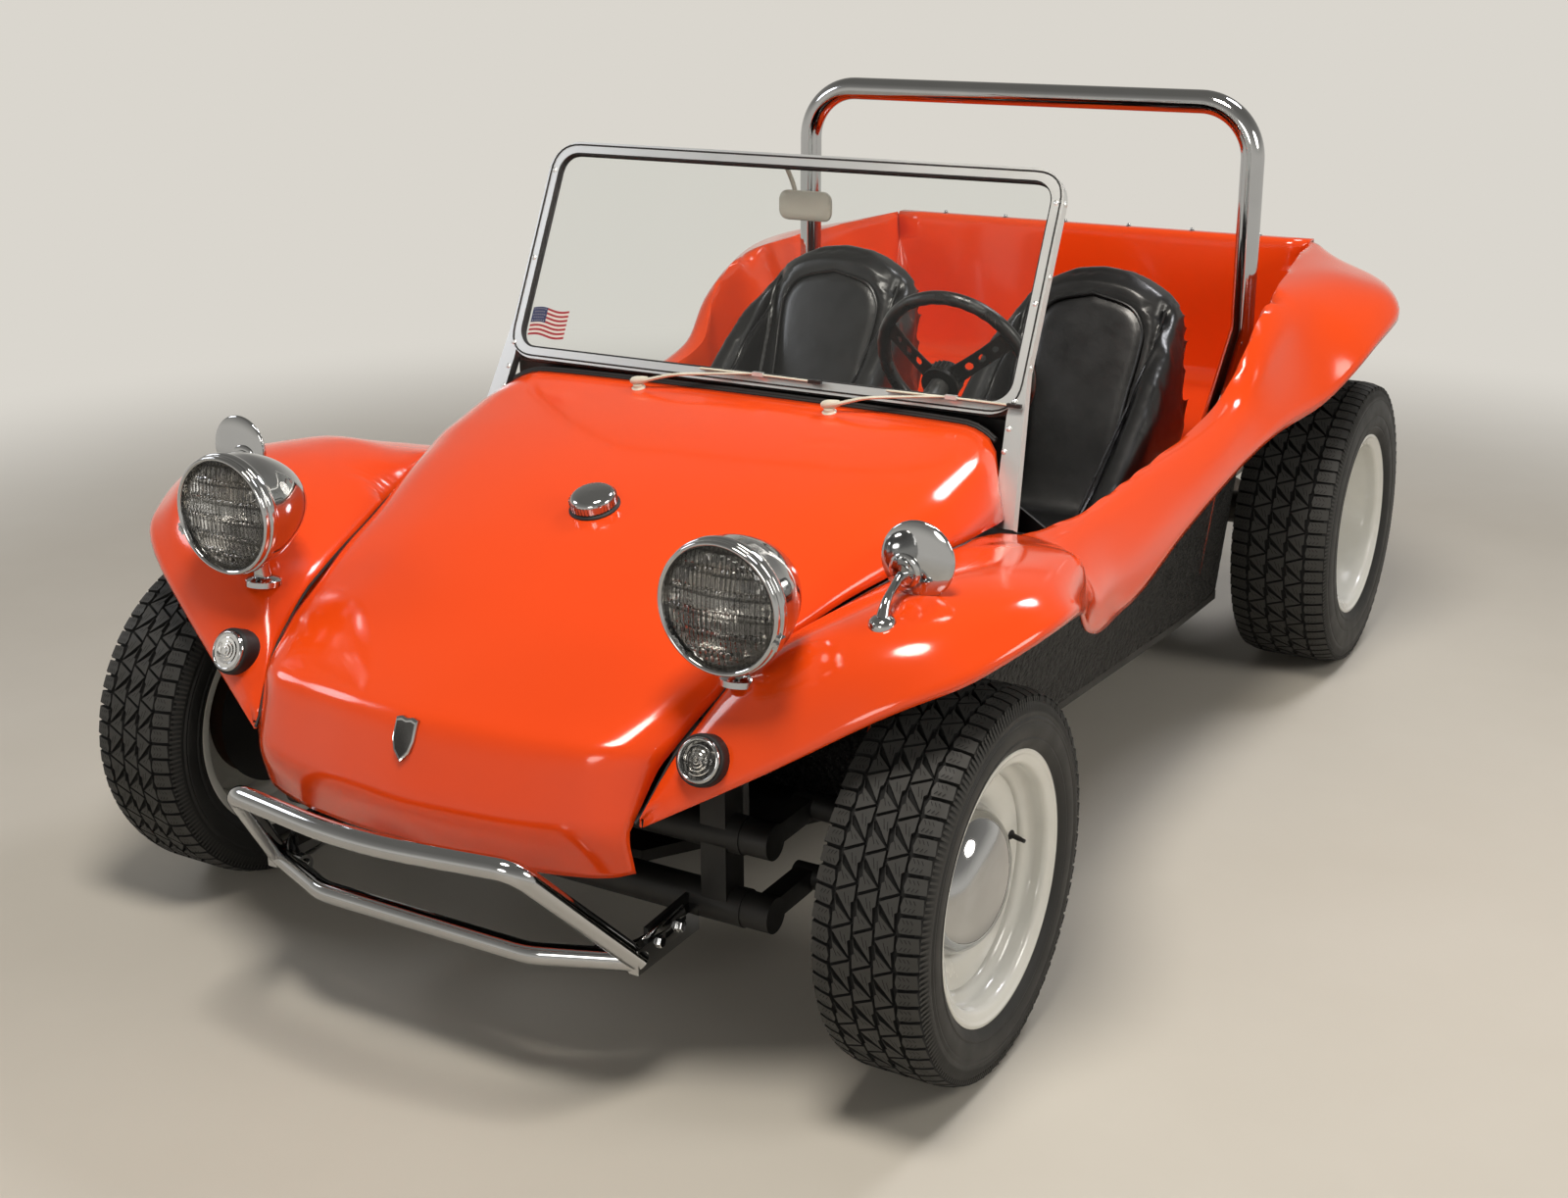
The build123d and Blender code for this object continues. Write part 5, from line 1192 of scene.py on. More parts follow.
def windscreen_trim():
    """The rubbers of glass and frame, the rail's screws, the posts' foot bolts and a striped decal."""
    form = Form()
    high = math.hypot(SCREEN_TOP[0] - SCREEN_BASE[0], SCREEN_TOP[1] - SCREEN_BASE[1])
    # place before the glass | half width | inset | radius: a seal on each face, and a thin bead on the frame
    for forward, reach, edge, thick in ((-5, 519, 22, 4.2), (5, 519, 22, 4.2), (10.4, 535, 6, 1.6)):
        corners = [(-reach, edge, 0), (reach, edge, 0), (reach, high - edge, 0), (-reach, high - edge, 0)]
        line = rounded(corners, 42 if edge > 10 else 56, 8, True)
        form.tube([screen_point(p.x, p.y, forward) for p in line], thick, 0, 8, True)
    screw = [(5, -1), (5, 0.6), (3.4, 2), (0.01, 2.4)]
    run, rise = SCREEN_TOP[0] - SCREEN_BASE[0], SCREEN_TOP[1] - SCREEN_BASE[1]
    ahead = Vector((0, -rise, run)).normalized()
    for side in (LEFT, RIGHT):
        for up in (-60, -20, 28, 200, high - 60):
            form.lathe(screw, screen_point(side * 528, up, 10), ahead, 1, 14)
        for up in (-150, -40, 90, 250, 380):
            out = 541 if up > 0 else 541 - up * 0.07
            form.lathe(screw, screen_point(side * out, up, 0), (side, 0, 0), 1, 14)
    form.make("windscreen_trim", look("rubber_trim", "aluminium"), "chassis", "black_vinyl")
    flag = Form()
    x0, up0, wide, tall, lift = -505, 46, 85, 56, 3.4

    def flag_point(u, v, rise):
        """A point on the waving flag: u along it, v up it."""
        wave = 3 * math.sin(2 * math.pi * u)
        return screen_point(x0 + u * wide, up0 + v * tall + wave, lift + rise)
    rows = [[flag_point(u / 20, v / 13, 0) for u in range(21)] for v in range(14)]
    flag.grid(rows, lambda i, j: 0 if i % 2 == 0 else 2)
    flag.grid([[flag_point(u / 20, v / 13, 0.15) for u in range(9)] for v in range(6, 14)], 1)
    for row in range(5):
        for k in range(6 - row % 2):
            u, v = (0.9 + 1.2 * k + 0.6 * (row % 2)) / 20, (6.8 + 1.35 * row) / 13
            du, dv = 0.012, 0.018
            flag.face([flag_point(u - du, v, 0.3), flag_point(u, v - dv, 0.3), flag_point(u + du, v, 0.3),
                       flag_point(u, v + dv, 0.3)], 2)
    return flag.make("screen_decal", look("decal_red", "decal_blue", "decal_white"), "chassis", "badge_metal")


# Cabin

DASH_FACE = 614
# x | z | radius of each dial
DIALS = ((435, 774, 52), (215, 778, 30), (140, 778, 30))
DIAL_MARKS = 21
SWITCHES = 4


def instruments():
    """Three dials with chrome bezels, dark faces, marks and needles, and a row of switches."""
    form = Form()
    for x, z, radius in DIALS:
        place = at(x, DASH_FACE, z)
        bezel = rounded([(radius - 6, 1, 0), (radius - 4, 4, 0), (radius + 1, 5, 0), (radius + 3, 1, 0),
                         (radius + 3, -3, 0)], [0, 1, 3, 2, 0], 4)
        form.lathe(bezel, place, (0, 1, 0), 0, 64)
        form.lathe([(0.01, 0), (radius - 6, 0), (radius - 6, 2)], place, (0, 1, 0), 1, 48)
        for k in range(DIAL_MARKS):
            t = math.radians(225 - 13.5 * k)
            reach = radius - 9
            deep = 7 if k % 2 == 0 else 4
            spot = Matrix.Translation(place + Vector((math.cos(t) * (reach - deep / 2), 0.6,
                                                      math.sin(t) * (reach - deep / 2))) * MM)
            form.block((deep, 0.6, 1.1), spot @ Matrix.Rotation(-t, 4, "Y"), 2)
        t = math.radians(200)
        needle = Matrix.Translation(place + Vector((math.cos(t) * radius * 0.3, 1.4,
                                                    math.sin(t) * radius * 0.3)) * MM)
        form.block((radius * 0.75, 0.8, 1.6), needle @ Matrix.Rotation(-t, 4, "Y"), 2)
        form.lathe([(5, 0), (5, 3), (0.01, 3.4)], place, (0, 1, 0), 1, 20)
    for k in range(SWITCHES):
        form.lathe([(9, -2), (9, 3), (5, 4), (5, 18), (8, 20), (8, 27), (0.01, 28)],
                   at(-60 - 55 * k, 606, 760), (0, 1, 0), 0, 24)
    return form.make("instruments", look("chrome", "anodised", "marks"), "chassis", "chrome")


# The skin is remeshed in steps of this size, and puffed out by this much at most, in metres.
SKIN_STEP = 0.0065
PUFF_LIMIT = 0.009
# The sewn lines press into the padding by this much, over about this width.
CREASE_DEPTH = 4.5
CREASE_WIDTH = 11
# The sewn arch on the back, from its foot to its top: x, z. The two side lines run this far out.
SEAT_SEAM = ((99, 527), (111, 701), (121, 800), (118, 846), (85, 886), (0, 908))
SIDE_SEAM = 153


def seat_arch(x):
    """How high the seat's outline reaches at a width from its middle."""
    return straight(SEAT_ARCH, abs(x))[0]


def slab(form, widths, outline_at):
    """A closed pad from side views at a row of widths, kept under the seat's arch."""
    rows = [[at(x, y, min(z, seat_arch(x))) for y, z in outline_at(x)] for x in widths]
    form.grid(rows, 0, False, True)
    form.face(rows[0][::-1]).face(rows[-1])


def applied(piece):
    """The piece's mesh with its modifiers applied."""
    return bpy.data.meshes.new_from_object(piece.evaluated_get(bpy.context.evaluated_depsgraph_get()))


def puff(piece, cap):
    """Fills a pad with air for a moment, and lets no point move further than the cap."""
    cloth = piece.modifiers.new("Filling", "CLOTH")
    cloth.settings.use_pressure = True
    cloth.settings.uniform_pressure_force = 4
    cloth.settings.effector_weights.gravity = 0
    for number in range(1, 21):
        bpy.context.scene.frame_set(number)
    swollen = applied(piece)
    piece.modifiers.clear()
    for kept, moved in zip(piece.data.vertices, swollen.vertices):
        step = moved.co - kept.co
        if step.length > cap:
            step *= cap / step.length
        kept.co += step
        kept.co.z = max(kept.co.z, (SEAT_BASE + 0.4) * MM)
    bpy.context.scene.frame_set(1)


def seat_mesh():
    """The seat about its own middle: a core, a pad and two wings, joined and puffed."""
    spine = through([(0, y, z) for y, z in SEAT_SPINE], 4)
    ahead = []
    for i, p in enumerate(spine):
        way = (spine[min(i + 1, len(spine) - 1)] - spine[max(i - 1, 0)]).normalized()
        ahead.append((p, Vector((0, -way.z, way.y))))

    def pad_outline(x):
        """The centre pad seen from the side, crowned across its width."""
        t = abs(x) / SEAT_PAD
        rise = 7 * (1 - t * t) - 9 * t ** 10
        top = [p + out * rise for p, out in ahead]
        under = [p - out * 42 for p, out in ahead[::-1]]
        return [(p.y, max(p.z, SEAT_BASE)) for p in top + under]

    def wing_outline(x):
        """A wing seen from the side, drawn in a little at its two faces."""
        t = abs((abs(x) - 183) / 25)
        return [(y + 7 * t ** 4, z - 7 * t ** 4) if z > SEAT_BASE + 5 else (y, z) for y, z in SEAT_WING]

    form = Form()
    slab(form, [-SEAT_PAD + SEAT_PAD * k / 10 for k in range(21)], pad_outline)
    for side in (LEFT, RIGHT):
        slab(form, [side * x for x in (158, 162, 167, 173, 179, 185, 190, 194, 198, 202, 205, 208)][::side],
             wing_outline)
    core = [(p - out * 18) for p, out in ahead[3:-1]]
    core = [(p.y, p.z) for p in core] + SEAT_BACK
    slab(form, [-196 + 392 * k / 28 for k in range(29)], lambda x: [(898, SEAT_BASE)] + core)
    mesh = bpy.data.meshes.new("Seat form")
    mesh.from_pydata(form.points, [], form.faces)
    work = bmesh.new()
    work.from_mesh(mesh)
    bmesh.ops.remove_doubles(work, verts=work.verts, dist=1e-5)
    bmesh.ops.triangulate(work, faces=[f for f in work.faces if len(f.verts) > 4])
    bmesh.ops.recalc_face_normals(work, faces=work.faces)
    work.to_mesh(mesh)
    work.free()
    piece = new_object("Seat form", mesh)
    skin = piece.modifiers.new("Skin", "REMESH")
    skin.mode = "VOXEL"
    skin.voxel_size = SKIN_STEP
    calm = piece.modifiers.new("Rounded edges", "SMOOTH")
    calm.iterations = 7
    piece.data = applied(piece)
    piece.modifiers.clear()
    puff(piece, PUFF_LIMIT)
    mesh = piece.data
    bpy.data.objects.remove(piece)
    return mesh


def seam_lines(tree):
    """The seat's sewn lines, found on its skin: an arch that runs on down the cushion, and two sides."""
    def skin(x, y, z, way):
        """Where a line from a place meets the seat, or None."""
        return tree.ray_cast(at(x, y, z), Vector(way))[0]

    def cushion(x):
        """A line over the cushion, from its front to the back."""
        return [skin(x, y, 1500, (0, 0, -1)) for y in range(915, 1316, 20)]

    def up(x, low, high):
        """A line up the back's front."""
        return [skin(x, 700, z, (0, 1, 0)) for z in range(low, high, 20)]

    inner = SEAT_SEAM[0][0]
    arch = through([(x, 0, z) for x, z in SEAT_SEAM], 12)
    back = [skin(p.x, 700, p.z, (0, 1, 0)) for p in arch]
    across = [skin(-p.x, 700, p.z, (0, 1, 0)) for p in arch[-2::-1]]
    lines = [cushion(inner) + back + across + cushion(-inner)[::-1]]
    lines += [cushion(x) + up(x, 500, 890) for x in (SIDE_SEAM, -SIDE_SEAM)]
    return [evenly(through([p for p in line if p is not None], 2), 260) for line in lines]


def both_seats():
    """Two low bucket seats in grained vinyl, padded, with wings, sewn lines and piping."""
    mesh = seat_mesh()
    tree = BVHTree.FromPolygons([v.co for v in mesh.vertices], [tuple(p.vertices) for p in mesh.polygons])
    lines = seam_lines(tree)
    marks = KDTree(sum(len(line) for line in lines))
    for k, p in enumerate([p for line in lines for p in line]):
        marks.insert(p, k)
    marks.balance()
    normals = [v.normal.copy() for v in mesh.vertices]
    for vertex, normal in zip(mesh.vertices, normals):
        gap = marks.find(vertex.co)[2] / MM
        vertex.co -= normal * (CREASE_DEPTH * MM * math.exp(-(gap / CREASE_WIDTH) ** 2))
    mesh.polygons.foreach_set("use_smooth", [True] * len(mesh.polygons))
    made = []
    for name, side in SIDES.items():
        shift = Vector((side * SEAT_MIDDLE * MM, 0, 0))
        skin = mesh.copy()
        skin.transform(Matrix.Translation(shift))
        skin.materials.clear()
        skin.materials.append(MATERIALS["vinyl"])
        piece = new_object(f"seat_{name}", skin)
        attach(piece, "chassis")
        if side == LEFT:
            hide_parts("seats")
        piping = Form()
        for line in lines:
            piping.tube([p + shift for p in line], bpy.context.scene.buggy.piping / MM, 0, 8)
        piping.make(f"seat_piping_{name}", look("piping"), "chassis", "black_vinyl")
        made.append(piece)
    return made


STEERING_HUB = (320, 795, 887)
STEERING_RISE = 24
STEERING_RADIUS = 143
GRIP = 12.6
SPOKE_START = 24
SPOKE_LENGTH = 111
# Each hole in a spoke: its place out from the hub, and its radius
SPOKE_HOLES = ((58, 8.4), (84, 7.4), (110, 6.4))


def spoke_half(share):
    """Half a spoke's width at a share of its length: it is waisted."""
    return 17 - 2.5 * math.sin(math.pi * share)


def steering_wheel():
    """A thick grip, three drilled plate spokes in black, and a ribbed boss with a plain horn button."""
    rise = math.radians(STEERING_RISE)
    axis = Vector((0, math.cos(rise), math.sin(rise)))
    up = Vector((0, -math.sin(rise), math.cos(rise)))
    across = Vector((-1, 0, 0))
    hub = at(*STEERING_HUB)

    def wheel_at(x, y, z):
        """A point in the wheel's own frame: across, up and along its axis."""
        return hub + (across * x + up * y + axis * z) * MM
    form = Form()
    count = 120
    rows = []
    for s in range(count):
        t = 2 * math.pi * s / count
        row = []
        for k in range(20):
            a = 2 * math.pi * k / 20
            grip = GRIP + (0.5 * math.sin(s * math.pi * 2 / 4) if math.sin(a) < -0.2 else 0)
            r = STEERING_RADIUS + grip * math.cos(a)
            row.append(wheel_at(r * math.cos(t), r * math.sin(t), grip * math.sin(a)))
        rows.append(row)
    form.grid(rows, 0, True, True)
    boss = [(0.01, -26), (20, -26), (26, -28), (27, -33), (27, -36), (32, -38), (32, -62), (36, -64),
            (36, -72), (20, -74)]
    form.lathe(boss, hub, axis, 1, 48)
    for k in range(24):
        t = 2 * math.pi * k / 24
        spot = wheel_at(32.5 * math.cos(t), 32.5 * math.sin(t), -50)
        form.tube([spot - axis * 0.011, spot + axis * 0.011], 2.6, 1, 8)
    for turn in (30, 150, 270):
        t = math.radians(turn)
        way = Vector((math.cos(t), math.sin(t), 0))
        side = Vector((-math.sin(t), math.cos(t), 0))

        def plate(s, w, z):
            """A point on a spoke, which rises from the boss to the grip."""
            dish = -52 + 48 * max(0.0, (s - 26) / 107) ** 1.15
            p = way * s + side * w
            return wheel_at(p.x, p.y, dish + z)
        for z, flip in ((0, False), (-3, True)):
            cells = 62
            for i in range(cells):
                for j in range(16):
                    s0, s1 = [SPOKE_START + SPOKE_LENGTH * n / cells for n in (i, i + 1)]
                    wide0, wide1 = [spoke_half((s - SPOKE_START) / SPOKE_LENGTH) for s in (s0, s1)]
                    w = [(-1 + 2 * j / 16), (-1 + 2 * (j + 1) / 16)]
                    mid_s, mid_w = (s0 + s1) / 2, (w[0] + w[1]) / 2 * (wide0 + wide1) / 2
                    if any(math.hypot(mid_s - c, mid_w) < r for c, r in SPOKE_HOLES):
                        continue
                    quad = [plate(s0, w[0] * wide0, z), plate(s1, w[0] * wide1, z),
                            plate(s1, w[1] * wide1, z), plate(s0, w[1] * wide0, z)]
                    form.face(quad[::-1] if flip else quad, 2)
        turns = [2 * math.pi * k / 28 for k in range(28)]
        for c, r in SPOKE_HOLES:
            wall = [[plate(c + r * math.cos(a), r * math.sin(a), z) for a in turns] for z in (-3, 0.2)]
            form.grid(wall, 2, False, True)
            lip = [plate(c + r * math.cos(a), r * math.sin(a), 0) for a in turns]
            form.tube(lip, 1.2, 2, 6, True)
        for s in (LEFT, RIGHT):
            edge = [plate(SPOKE_START + SPOKE_LENGTH * k / 30, s * spoke_half(k / 30), -1.5)
                    for k in range(31)]
            form.tube(edge, 1.9, 2, 8)
    return form.make("steering_wheel_dressed", look("grip", "anodised", "anodised"), "steering_wheel",
                     "wheel_black", ("steering_wheel",), 32)


# Engine dress

CARBURETTOR = (94, 2517, 472.3)
DISTRIBUTOR = (-92, 2520, 470)
BELT_Y = 2593
# where the belt's turn starts | height and radius of its pulley
PULLEYS = ((0, 662.3, 53), (math.pi, 352, 71))


def carburettor():
    """The inlet pipe, the carburettor's cast body with its float bowl, and its round black air cleaner."""
    x, y, z = CARBURETTOR
    form = Form()
    pipe = rounded([at(-305, y, 422), at(-305, y, 506), at(305, y, 506), at(305, y, 422)], 40 * MM, 8)
    form.tube(pipe, 15, 0, 20)
    body = [(0.01, 28), (24, 28), (30, 32), (30, 38), (21, 42), (20, 74), (34, 78), (34, 90), (28, 96),
            (28, 122), (33, 126), (33, 130), (26, 134), (26, 176), (0.01, 176)]
    form.lathe(body, at(x, y, z), (0, 0, 1), 0, 40)
    form.block((42, 44, 34), Matrix.Translation(at(x + 34, y, z + 105)), 0)
    form.lathe([(5, 0), (5, 46), (0.01, 46)], at(x - 36, y, z + 90), (1, 0, 0), 2, 16)
    cleaner = rounded([(20, 166, 0), (62, 170, 0), (64, 176, 0), (64, 236, 0), (58, 246, 0), (24, 258, 0),
                       (0.01, 260, 0)], [0, 5, 4, 8, 10, 14, 0], 5)
    form.lathe(cleaner, at(x + 30, y + 40, z), (0, 0, 1), 1, 56)
    form.tube([at(x, y, z + 172), at(x + 30, y + 40, z + 176)], 22, 1, 20)
    form.lathe([(8, 0), (8, 6), (3, 8), (3, 14), (0.01, 14)], at(x + 30, y + 40, z + 259), (0, 0, 1), 2, 16)
    return form.make("carburettor_dressed", look("casting", "tinware", "aluminium"), "chassis",
                     "shroud_black", ("carburettor",), 35)


def engine_dress():
    """What the solids leave out on the engine: the belt, the distributor and the plug leads."""
    form = Form()
    belt = []
    for start, height, radius in PULLEYS:
        for k in range(25):
            t = start + math.pi * k / 24
            belt.append(at(radius * math.cos(t), BELT_Y, height + radius * math.sin(t)))
    form.tube(belt, 5.2, 0, 8, True, 0.8)
    x, y, z = DISTRIBUTOR
    form.lathe([(20, 0), (20, 22), (27, 28), (27, 52), (33, 56), (33, 74), (24, 84), (0.01, 86)], at(x, y, z),
               (0, 0, 1), 1, 36)
    for side in (LEFT, RIGHT):
        for k, rear in enumerate((2320, 2475)):
            top = at(x + side * 14, y + 12 - 24 * k, z + 84)
            path = through([top, top + Vector((side * 12, 0, 22)) * MM, at(side * 165, y - 30 * k, 556),
                            at(side * 262, rear + 24, 520), at(side * 300, rear, 424)], 8)
            form.tube(path, 3.6, 2, 8)
    return form.make("engine_dress", look("belt", "tinware", "lead"), "chassis", "shroud_black")


# Finishes of the CAD nodes that stay in view

def finish_nodes():
    """Gives the CAD nodes that stay their real finishes and breaks their hard edges."""
    finishes = {"firewall": ("undercoat", 1.5), "dashboard": ("vinyl", 3), "floor_pan": ("chassis", 2),
                "front_beam": ("chassis", 3), "trailing_arms": ("chassis", 4), "rear_frame": ("chassis", 2),
                "transaxle": ("casting", 4), "engine": ("casting", 3), "fan_shroud": ("tinware", 6),
                "exhaust": ("exhaust", 2), "rear_bumper": ("chrome", 1), "front_bumper": ("chrome", 1),
                "roll_bar": ("chrome", 1.5), "windscreen_frame": ("aluminium", 3),
                "windscreen_glass": ("glass", 0.4), "steering_column": ("chassis", 2),
                "driver_controls": ("chassis", 1.5), "fuel_tank": ("chassis", 3),
                "knuckle_left": ("chassis", 2), "knuckle_right": ("chassis", 2)}
    for name, (material, width) in finishes.items():
        paint_node(name, material)
        soften_node(name, width)
    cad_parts["windscreen_glass"].visible_shadow = False


# Stage

CAMERA_PLACE = (1818.63, -2439.75, 1645.24)
CAMERA_RIGHT = (0.865160, 0.501471, -0.005036)
CAMERA_UP = (-0.142435, 0.255340, 0.956302)
CAMERA_AHEAD = (-0.480844, 0.826637, -0.292337)
CAMERA_LENS = 45.414
CAMERA_SHIFT = (0.00535, -0.0401)
HORIZON = "#DAD6CE"
# height above the horizon, from 0 to 1 | colour
SURROUND = ((0.0, HORIZON), (0.1, "#CAC7BF"), (0.3, "#9C9994"), (0.75, "#7B7974"))
FLOOR_HALF = 16
# distances from the car's middle between which the floor fades into the surround, in metres
FLOOR_FADE = (2.2, 4.6)
LIGHT_AIM = (0, 800, 450)
# name | place | size in metres | watts | colour
LIGHTS = (
    ("Overhead key", (700, -900, 4300), (1.3, 1.3), 118, "#FFF8EE"),
    ("Overhead rear", (1500, 3300, 4300), (1.2, 1.2), 70, "#FAFAFF"),
    ("Left fill", (3900, 700, 2400), (1.6, 1.4), 46, "#FFFAF2"),
    ("Right fill", (-3900, -1000, 2900), (1.6, 1.4), 32, "#F6F8FF"),
    ("Front fill", (1100, -4300, 2000), (1.6, 1.2), 32, "#FFFBF4"),
)


def area_light(name, place, aim, size, power, colour):
    """An oval soft light that points at its aim."""
    data = bpy.data.lights.new(name, "AREA")
    data.shape = "ELLIPSE"
    data.size, data.size_y = size
    data.energy = power
    data.color = linear(colour)[:3]
    made = new_object(name, data)
    made.location = place
    made.rotation_euler = (Vector(aim) - Vector(place)).to_track_quat("-Z", "Y").to_euler()
    return made


def seen_directly(tree):
    """1 for rays that the camera, a reflection or a glass sends, and 0 for light."""
    path = add_node(tree, "ShaderNodeLightPath").outputs
    seen = add_node(tree, "ShaderNodeMath", {0: path["Is Camera Ray"], 1: path["Is Glossy Ray"]},
                    operation="MAXIMUM")
    return add_node(tree, "ShaderNodeMath", {0: seen.outputs[0], 1: path["Is Transmission Ray"]},
                    operation="MAXIMUM").outputs[0]


def floor_surface():
    """Painted concrete, pale and scuffed in broad patches, that fades into the surround away from the car."""
    made = surface("Painted_concrete", "#D2CDC3", 0.5, 0.0, "#C3BDB1", 700, ((4, 0.05),), 0.66)
    tree = made.node_tree
    place = add_node(tree, "ShaderNodeTexCoord").outputs["Object"]
    away = add_node(tree, "ShaderNodeVectorMath", {0: place}, operation="LENGTH").outputs["Value"]
    near, far = FLOOR_FADE
    fade = add_node(tree, "ShaderNodeMapRange", {"Value": away, "From Min": near, "From Max": far},
                    interpolation_type="SMOOTHSTEP").outputs["Result"]
    share = add_node(tree, "ShaderNodeMath", {0: fade, 1: seen_directly(tree)},
                     operation="MULTIPLY").outputs[0]
    glow = add_node(tree, "ShaderNodeEmission", {"Color": linear(HORIZON), "Strength": 1.0})
    mix = add_node(tree, "ShaderNodeMixShader", {0: share, 1: tree.nodes["Principled BSDF"].outputs[0],
                                                 2: glow.outputs[0]})
    tree.links.new(mix.outputs[0], tree.nodes["Material Output"].inputs["Surface"])
    return made


def photo_camera():
    """A camera where the photo was taken from."""
    data = bpy.data.cameras.new("Photo camera")
    data.lens = CAMERA_LENS
    data.sensor_width = 36
    data.sensor_fit = "HORIZONTAL"
    data.shift_x, data.shift_y = CAMERA_SHIFT
    data.clip_end = 60
    camera = new_object("Photo camera", data)
    basis = Matrix((CAMERA_RIGHT, CAMERA_UP, [-v for v in CAMERA_AHEAD])).transposed().to_4x4()
    camera.matrix_world = Matrix.Translation(at(*CAMERA_PLACE)) @ basis
    bpy.context.scene.camera = camera


def pale_floor():
    """A wide flat floor under the car."""
    mesh = bpy.data.meshes.new("Floor")
    far = FLOOR_HALF
    mesh.from_pydata([(-far, -far, 0), (far, -far, 0), (far, far, 0), (-far, far, 0)], [], [(0, 1, 2, 3)])
    mesh.materials.append(floor_surface())
    new_object("Floor", mesh)


def soft_lights():
    """The soft lights overhead and at the sides, all aimed at the car."""
    for name, place, size, power, colour in LIGHTS:
        area_light(name, at(*place), at(*LIGHT_AIM), size, power, colour)


def pale_surround():
    """A surround, pale at eye level and greyer above, that lights the car at half the strength it shows."""
    world = bpy.data.worlds.new("Pale surround")
    world.use_nodes = True
    bpy.context.scene.world = world
    tree = world.node_tree
    way = add_node(tree, "ShaderNodeTexCoord").outputs["Generated"]
    height = add_node(tree, "ShaderNodeSeparateXYZ", {"Vector": way}).outputs["Z"]
    shade = add_node(tree, "ShaderNodeValToRGB", {"Fac": height})
    ramp = shade.color_ramp
    ramp.elements[0].position = SURROUND[0][0]
    ramp.elements[0].color = linear(SURROUND[0][1])
    ramp.elements[1].position = SURROUND[-1][0]
    ramp.elements[1].color = linear(SURROUND[-1][1])
    for position, colour in SURROUND[1:-1]:
        ramp.elements.new(position).color = linear(colour)
    light = tree.nodes["Background"]
    tree.links.new(shade.outputs["Color"], light.inputs["Color"])
    light.inputs["Strength"].default_value = 0.5
    shown = add_node(tree, "ShaderNodeBackground", {"Color": shade.outputs["Color"], "Strength": 1.0})
    mix = add_node(tree, "ShaderNodeMixShader", {0: seen_directly(tree), 1: light.outputs[0],
                                                 2: shown.outputs[0]})
    tree.links.new(mix.outputs[0], tree.nodes["World Output"].inputs["Surface"])
    bpy.context.scene.view_settings.view_transform = "Standard"


# Operators and panel

class BuggySettings(bpy.types.PropertyGroup):
    """Colours, counts and sizes of the dressed buggy."""

    paint: bpy.props.FloatVectorProperty(name="Paint", description="Gelcoat colour", subtype="COLOR", size=3,
                                         min=0, max=1, default=linear("#F04E14")[:3])
    front_pitches: bpy.props.IntProperty(name="Front tread pitches",
                                         description="Tread repeats round a front tyre", default=34,
                                         min=20, max=90)
    rear_pitches: bpy.props.IntProperty(name="Rear tread pitches",
                                        description="Tread repeats round a rear tyre", default=36,
                                        min=20, max=90)
    tread_depth: bpy.props.FloatProperty(name="Tread depth", description="Depth of the tyres' grooves",
                                         unit="LENGTH", default=8 * MM, min=2 * MM, max=12 * MM)
    piping: bpy.props.FloatProperty(name="Piping radius",
                                    description="Half the thickness of the seats' piping", unit="LENGTH",
                                    default=3.4 * MM, min=1 * MM, max=6 * MM)


def both(make):
    """Makes a piece on the left and on the right."""
    return [make(side) for side in (LEFT, RIGHT)]


class BUGGY_OT_finishes(bpy.types.Operator):
    """Define the finishes and dress the CAD nodes."""

    bl_idname = "buggy.finishes"
    bl_label = "Finishes"
    bl_options = {"REGISTER", "UNDO"}

    def execute(self, context):
        define_materials(context.scene.buggy.paint)
        finish_nodes()
        return {"FINISHED"}


class BUGGY_OT_body(bpy.types.Operator):
    """Build the side mouldings, bonnet, tub, beading and snap fasteners."""

    bl_idname = "buggy.body"
    bl_label = "Body"
    bl_options = {"REGISTER", "UNDO"}

    def execute(self, context):
        both(body_side)
        bonnet_panel()
        rear_tub()
        seam_beading()
        snap_fasteners()
        return {"FINISHED"}


class BUGGY_OT_lamps(bpy.types.Operator):
    """Build the headlamps, indicators and tail lamps."""

    bl_idname = "buggy.lamps"
    bl_label = "Lamps"
    bl_options = {"REGISTER", "UNDO"}

    def execute(self, context):
        both(headlamp)
        both(indicator)
        both(tail_lamp)
        return {"FINISHED"}


class BUGGY_OT_mirrors(bpy.types.Operator):
    """Build the wing mirrors and the interior mirror."""

    bl_idname = "buggy.mirrors"
    bl_label = "Mirrors"
    bl_options = {"REGISTER", "UNDO"}

    def execute(self, context):
        both(wing_mirror)
        interior_mirror()
        return {"FINISHED"}


class BUGGY_OT_trim(bpy.types.Operator):
    """Build the bumper's ends, filler cap, shield, wipers and windscreen trim."""

    bl_idname = "buggy.trim"
    bl_label = "Trim"
    bl_options = {"REGISTER", "UNDO"}

    def execute(self, context):
        bumper_ends()
        filler_cap()
        badge()
        wiper_set()
        windscreen_trim()
        return {"FINISHED"}


class BUGGY_OT_cabin(bpy.types.Operator):
    """Build the instruments, seats and steering wheel."""

    bl_idname = "buggy.cabin"
    bl_label = "Cabin"
    bl_options = {"REGISTER", "UNDO"}

    def execute(self, context):
        instruments()
        both_seats()
        steering_wheel()
        return {"FINISHED"}


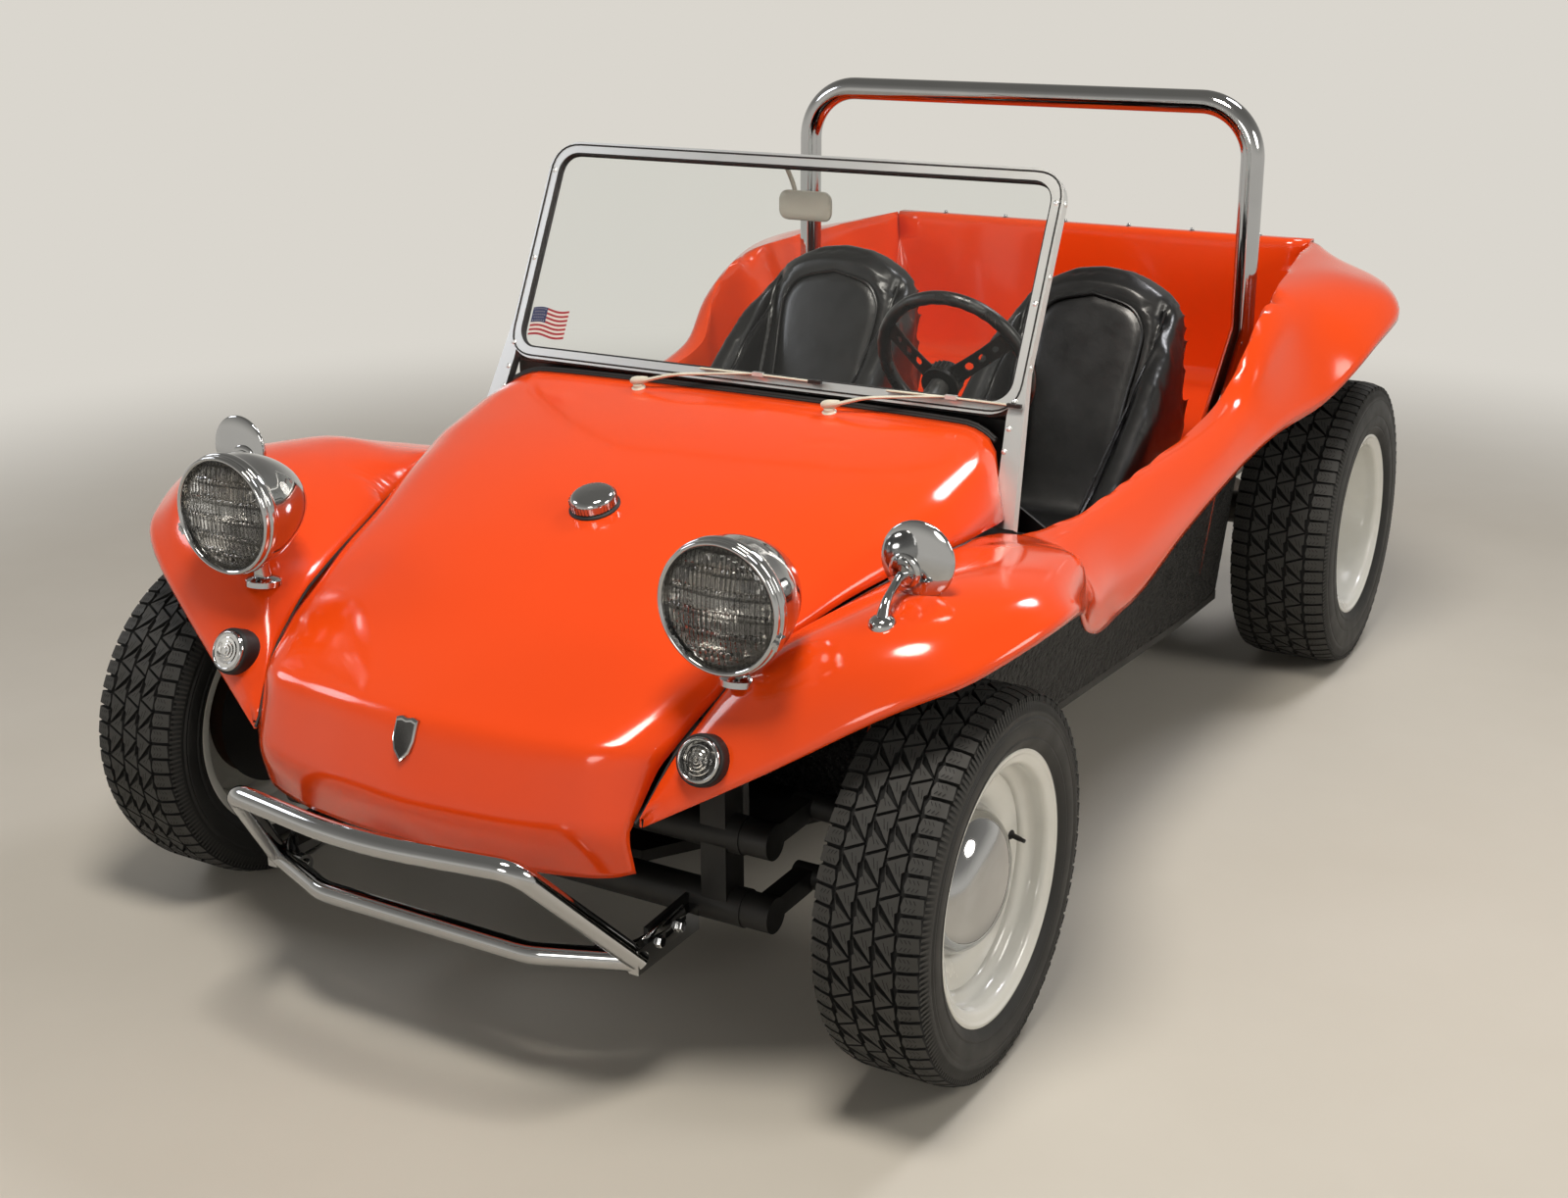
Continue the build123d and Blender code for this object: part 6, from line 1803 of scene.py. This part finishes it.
class BUGGY_OT_wheels(bpy.types.Operator):
    """Build the wheels, hubcaps and tyres."""

    bl_idname = "buggy.wheels"
    bl_label = "Wheels"
    bl_options = {"REGISTER", "UNDO"}

    def execute(self, context):
        settings = context.scene.buggy
        for name, side in SIDES.items():
            for end, hub, disc_x, half, radius in WHEELS:
                body = f"{end}_road_wheel_{name}"
                wheel(end, name, hub, side, half, disc_x, body)
                pitches = settings.front_pitches if end == "front" else settings.rear_pitches
                tyre(f"{end}_{name}", hub, side, radius, half, pitches, body)
        return {"FINISHED"}


class BUGGY_OT_engine(bpy.types.Operator):
    """Build what bolts to the engine."""

    bl_idname = "buggy.engine"
    bl_label = "Engine"
    bl_options = {"REGISTER", "UNDO"}

    def execute(self, context):
        carburettor()
        engine_dress()
        return {"FINISHED"}


class BUGGY_OT_stage(bpy.types.Operator):
    """Set up the camera, lights, floor and surround."""

    bl_idname = "buggy.stage"
    bl_label = "Stage"
    bl_options = {"REGISTER", "UNDO"}

    def execute(self, context):
        photo_camera()
        pale_floor()
        soft_lights()
        pale_surround()
        return {"FINISHED"}


OPERATORS = (BUGGY_OT_finishes, BUGGY_OT_body, BUGGY_OT_lamps, BUGGY_OT_mirrors, BUGGY_OT_trim,
             BUGGY_OT_cabin, BUGGY_OT_wheels, BUGGY_OT_engine, BUGGY_OT_stage)


class BUGGY_PT_pieces(bpy.types.Panel):
    """Lists the buggy's settings and the groups that can be built."""

    bl_label = "Dune buggy"
    bl_space_type = "VIEW_3D"
    bl_region_type = "UI"
    bl_category = "Buggy"

    def draw(self, context):
        for name in BuggySettings.__annotations__:
            self.layout.prop(context.scene.buggy, name)
        for operator in OPERATORS:
            self.layout.operator(operator.bl_idname)


CLASSES = (BuggySettings,) + OPERATORS + (BUGGY_PT_pieces,)


def register():
    """Registers the classes and hangs the settings on the scene."""
    for cls in CLASSES:
        bpy.utils.register_class(cls)
    bpy.types.Scene.buggy = bpy.props.PointerProperty(type=BuggySettings)


def unregister():
    """Takes away what register() put in place."""
    del bpy.types.Scene.buggy
    for cls in reversed(CLASSES):
        bpy.utils.unregister_class(cls)


def main():
    """Builds everything in order."""
    register()
    bpy.ops.buggy.finishes()
    bpy.ops.buggy.body()
    bpy.ops.buggy.lamps()
    bpy.ops.buggy.mirrors()
    bpy.ops.buggy.trim()
    bpy.ops.buggy.cabin()
    bpy.ops.buggy.wheels()
    bpy.ops.buggy.engine()
    bpy.ops.buggy.stage()


if __name__ == "__main__":
    main()
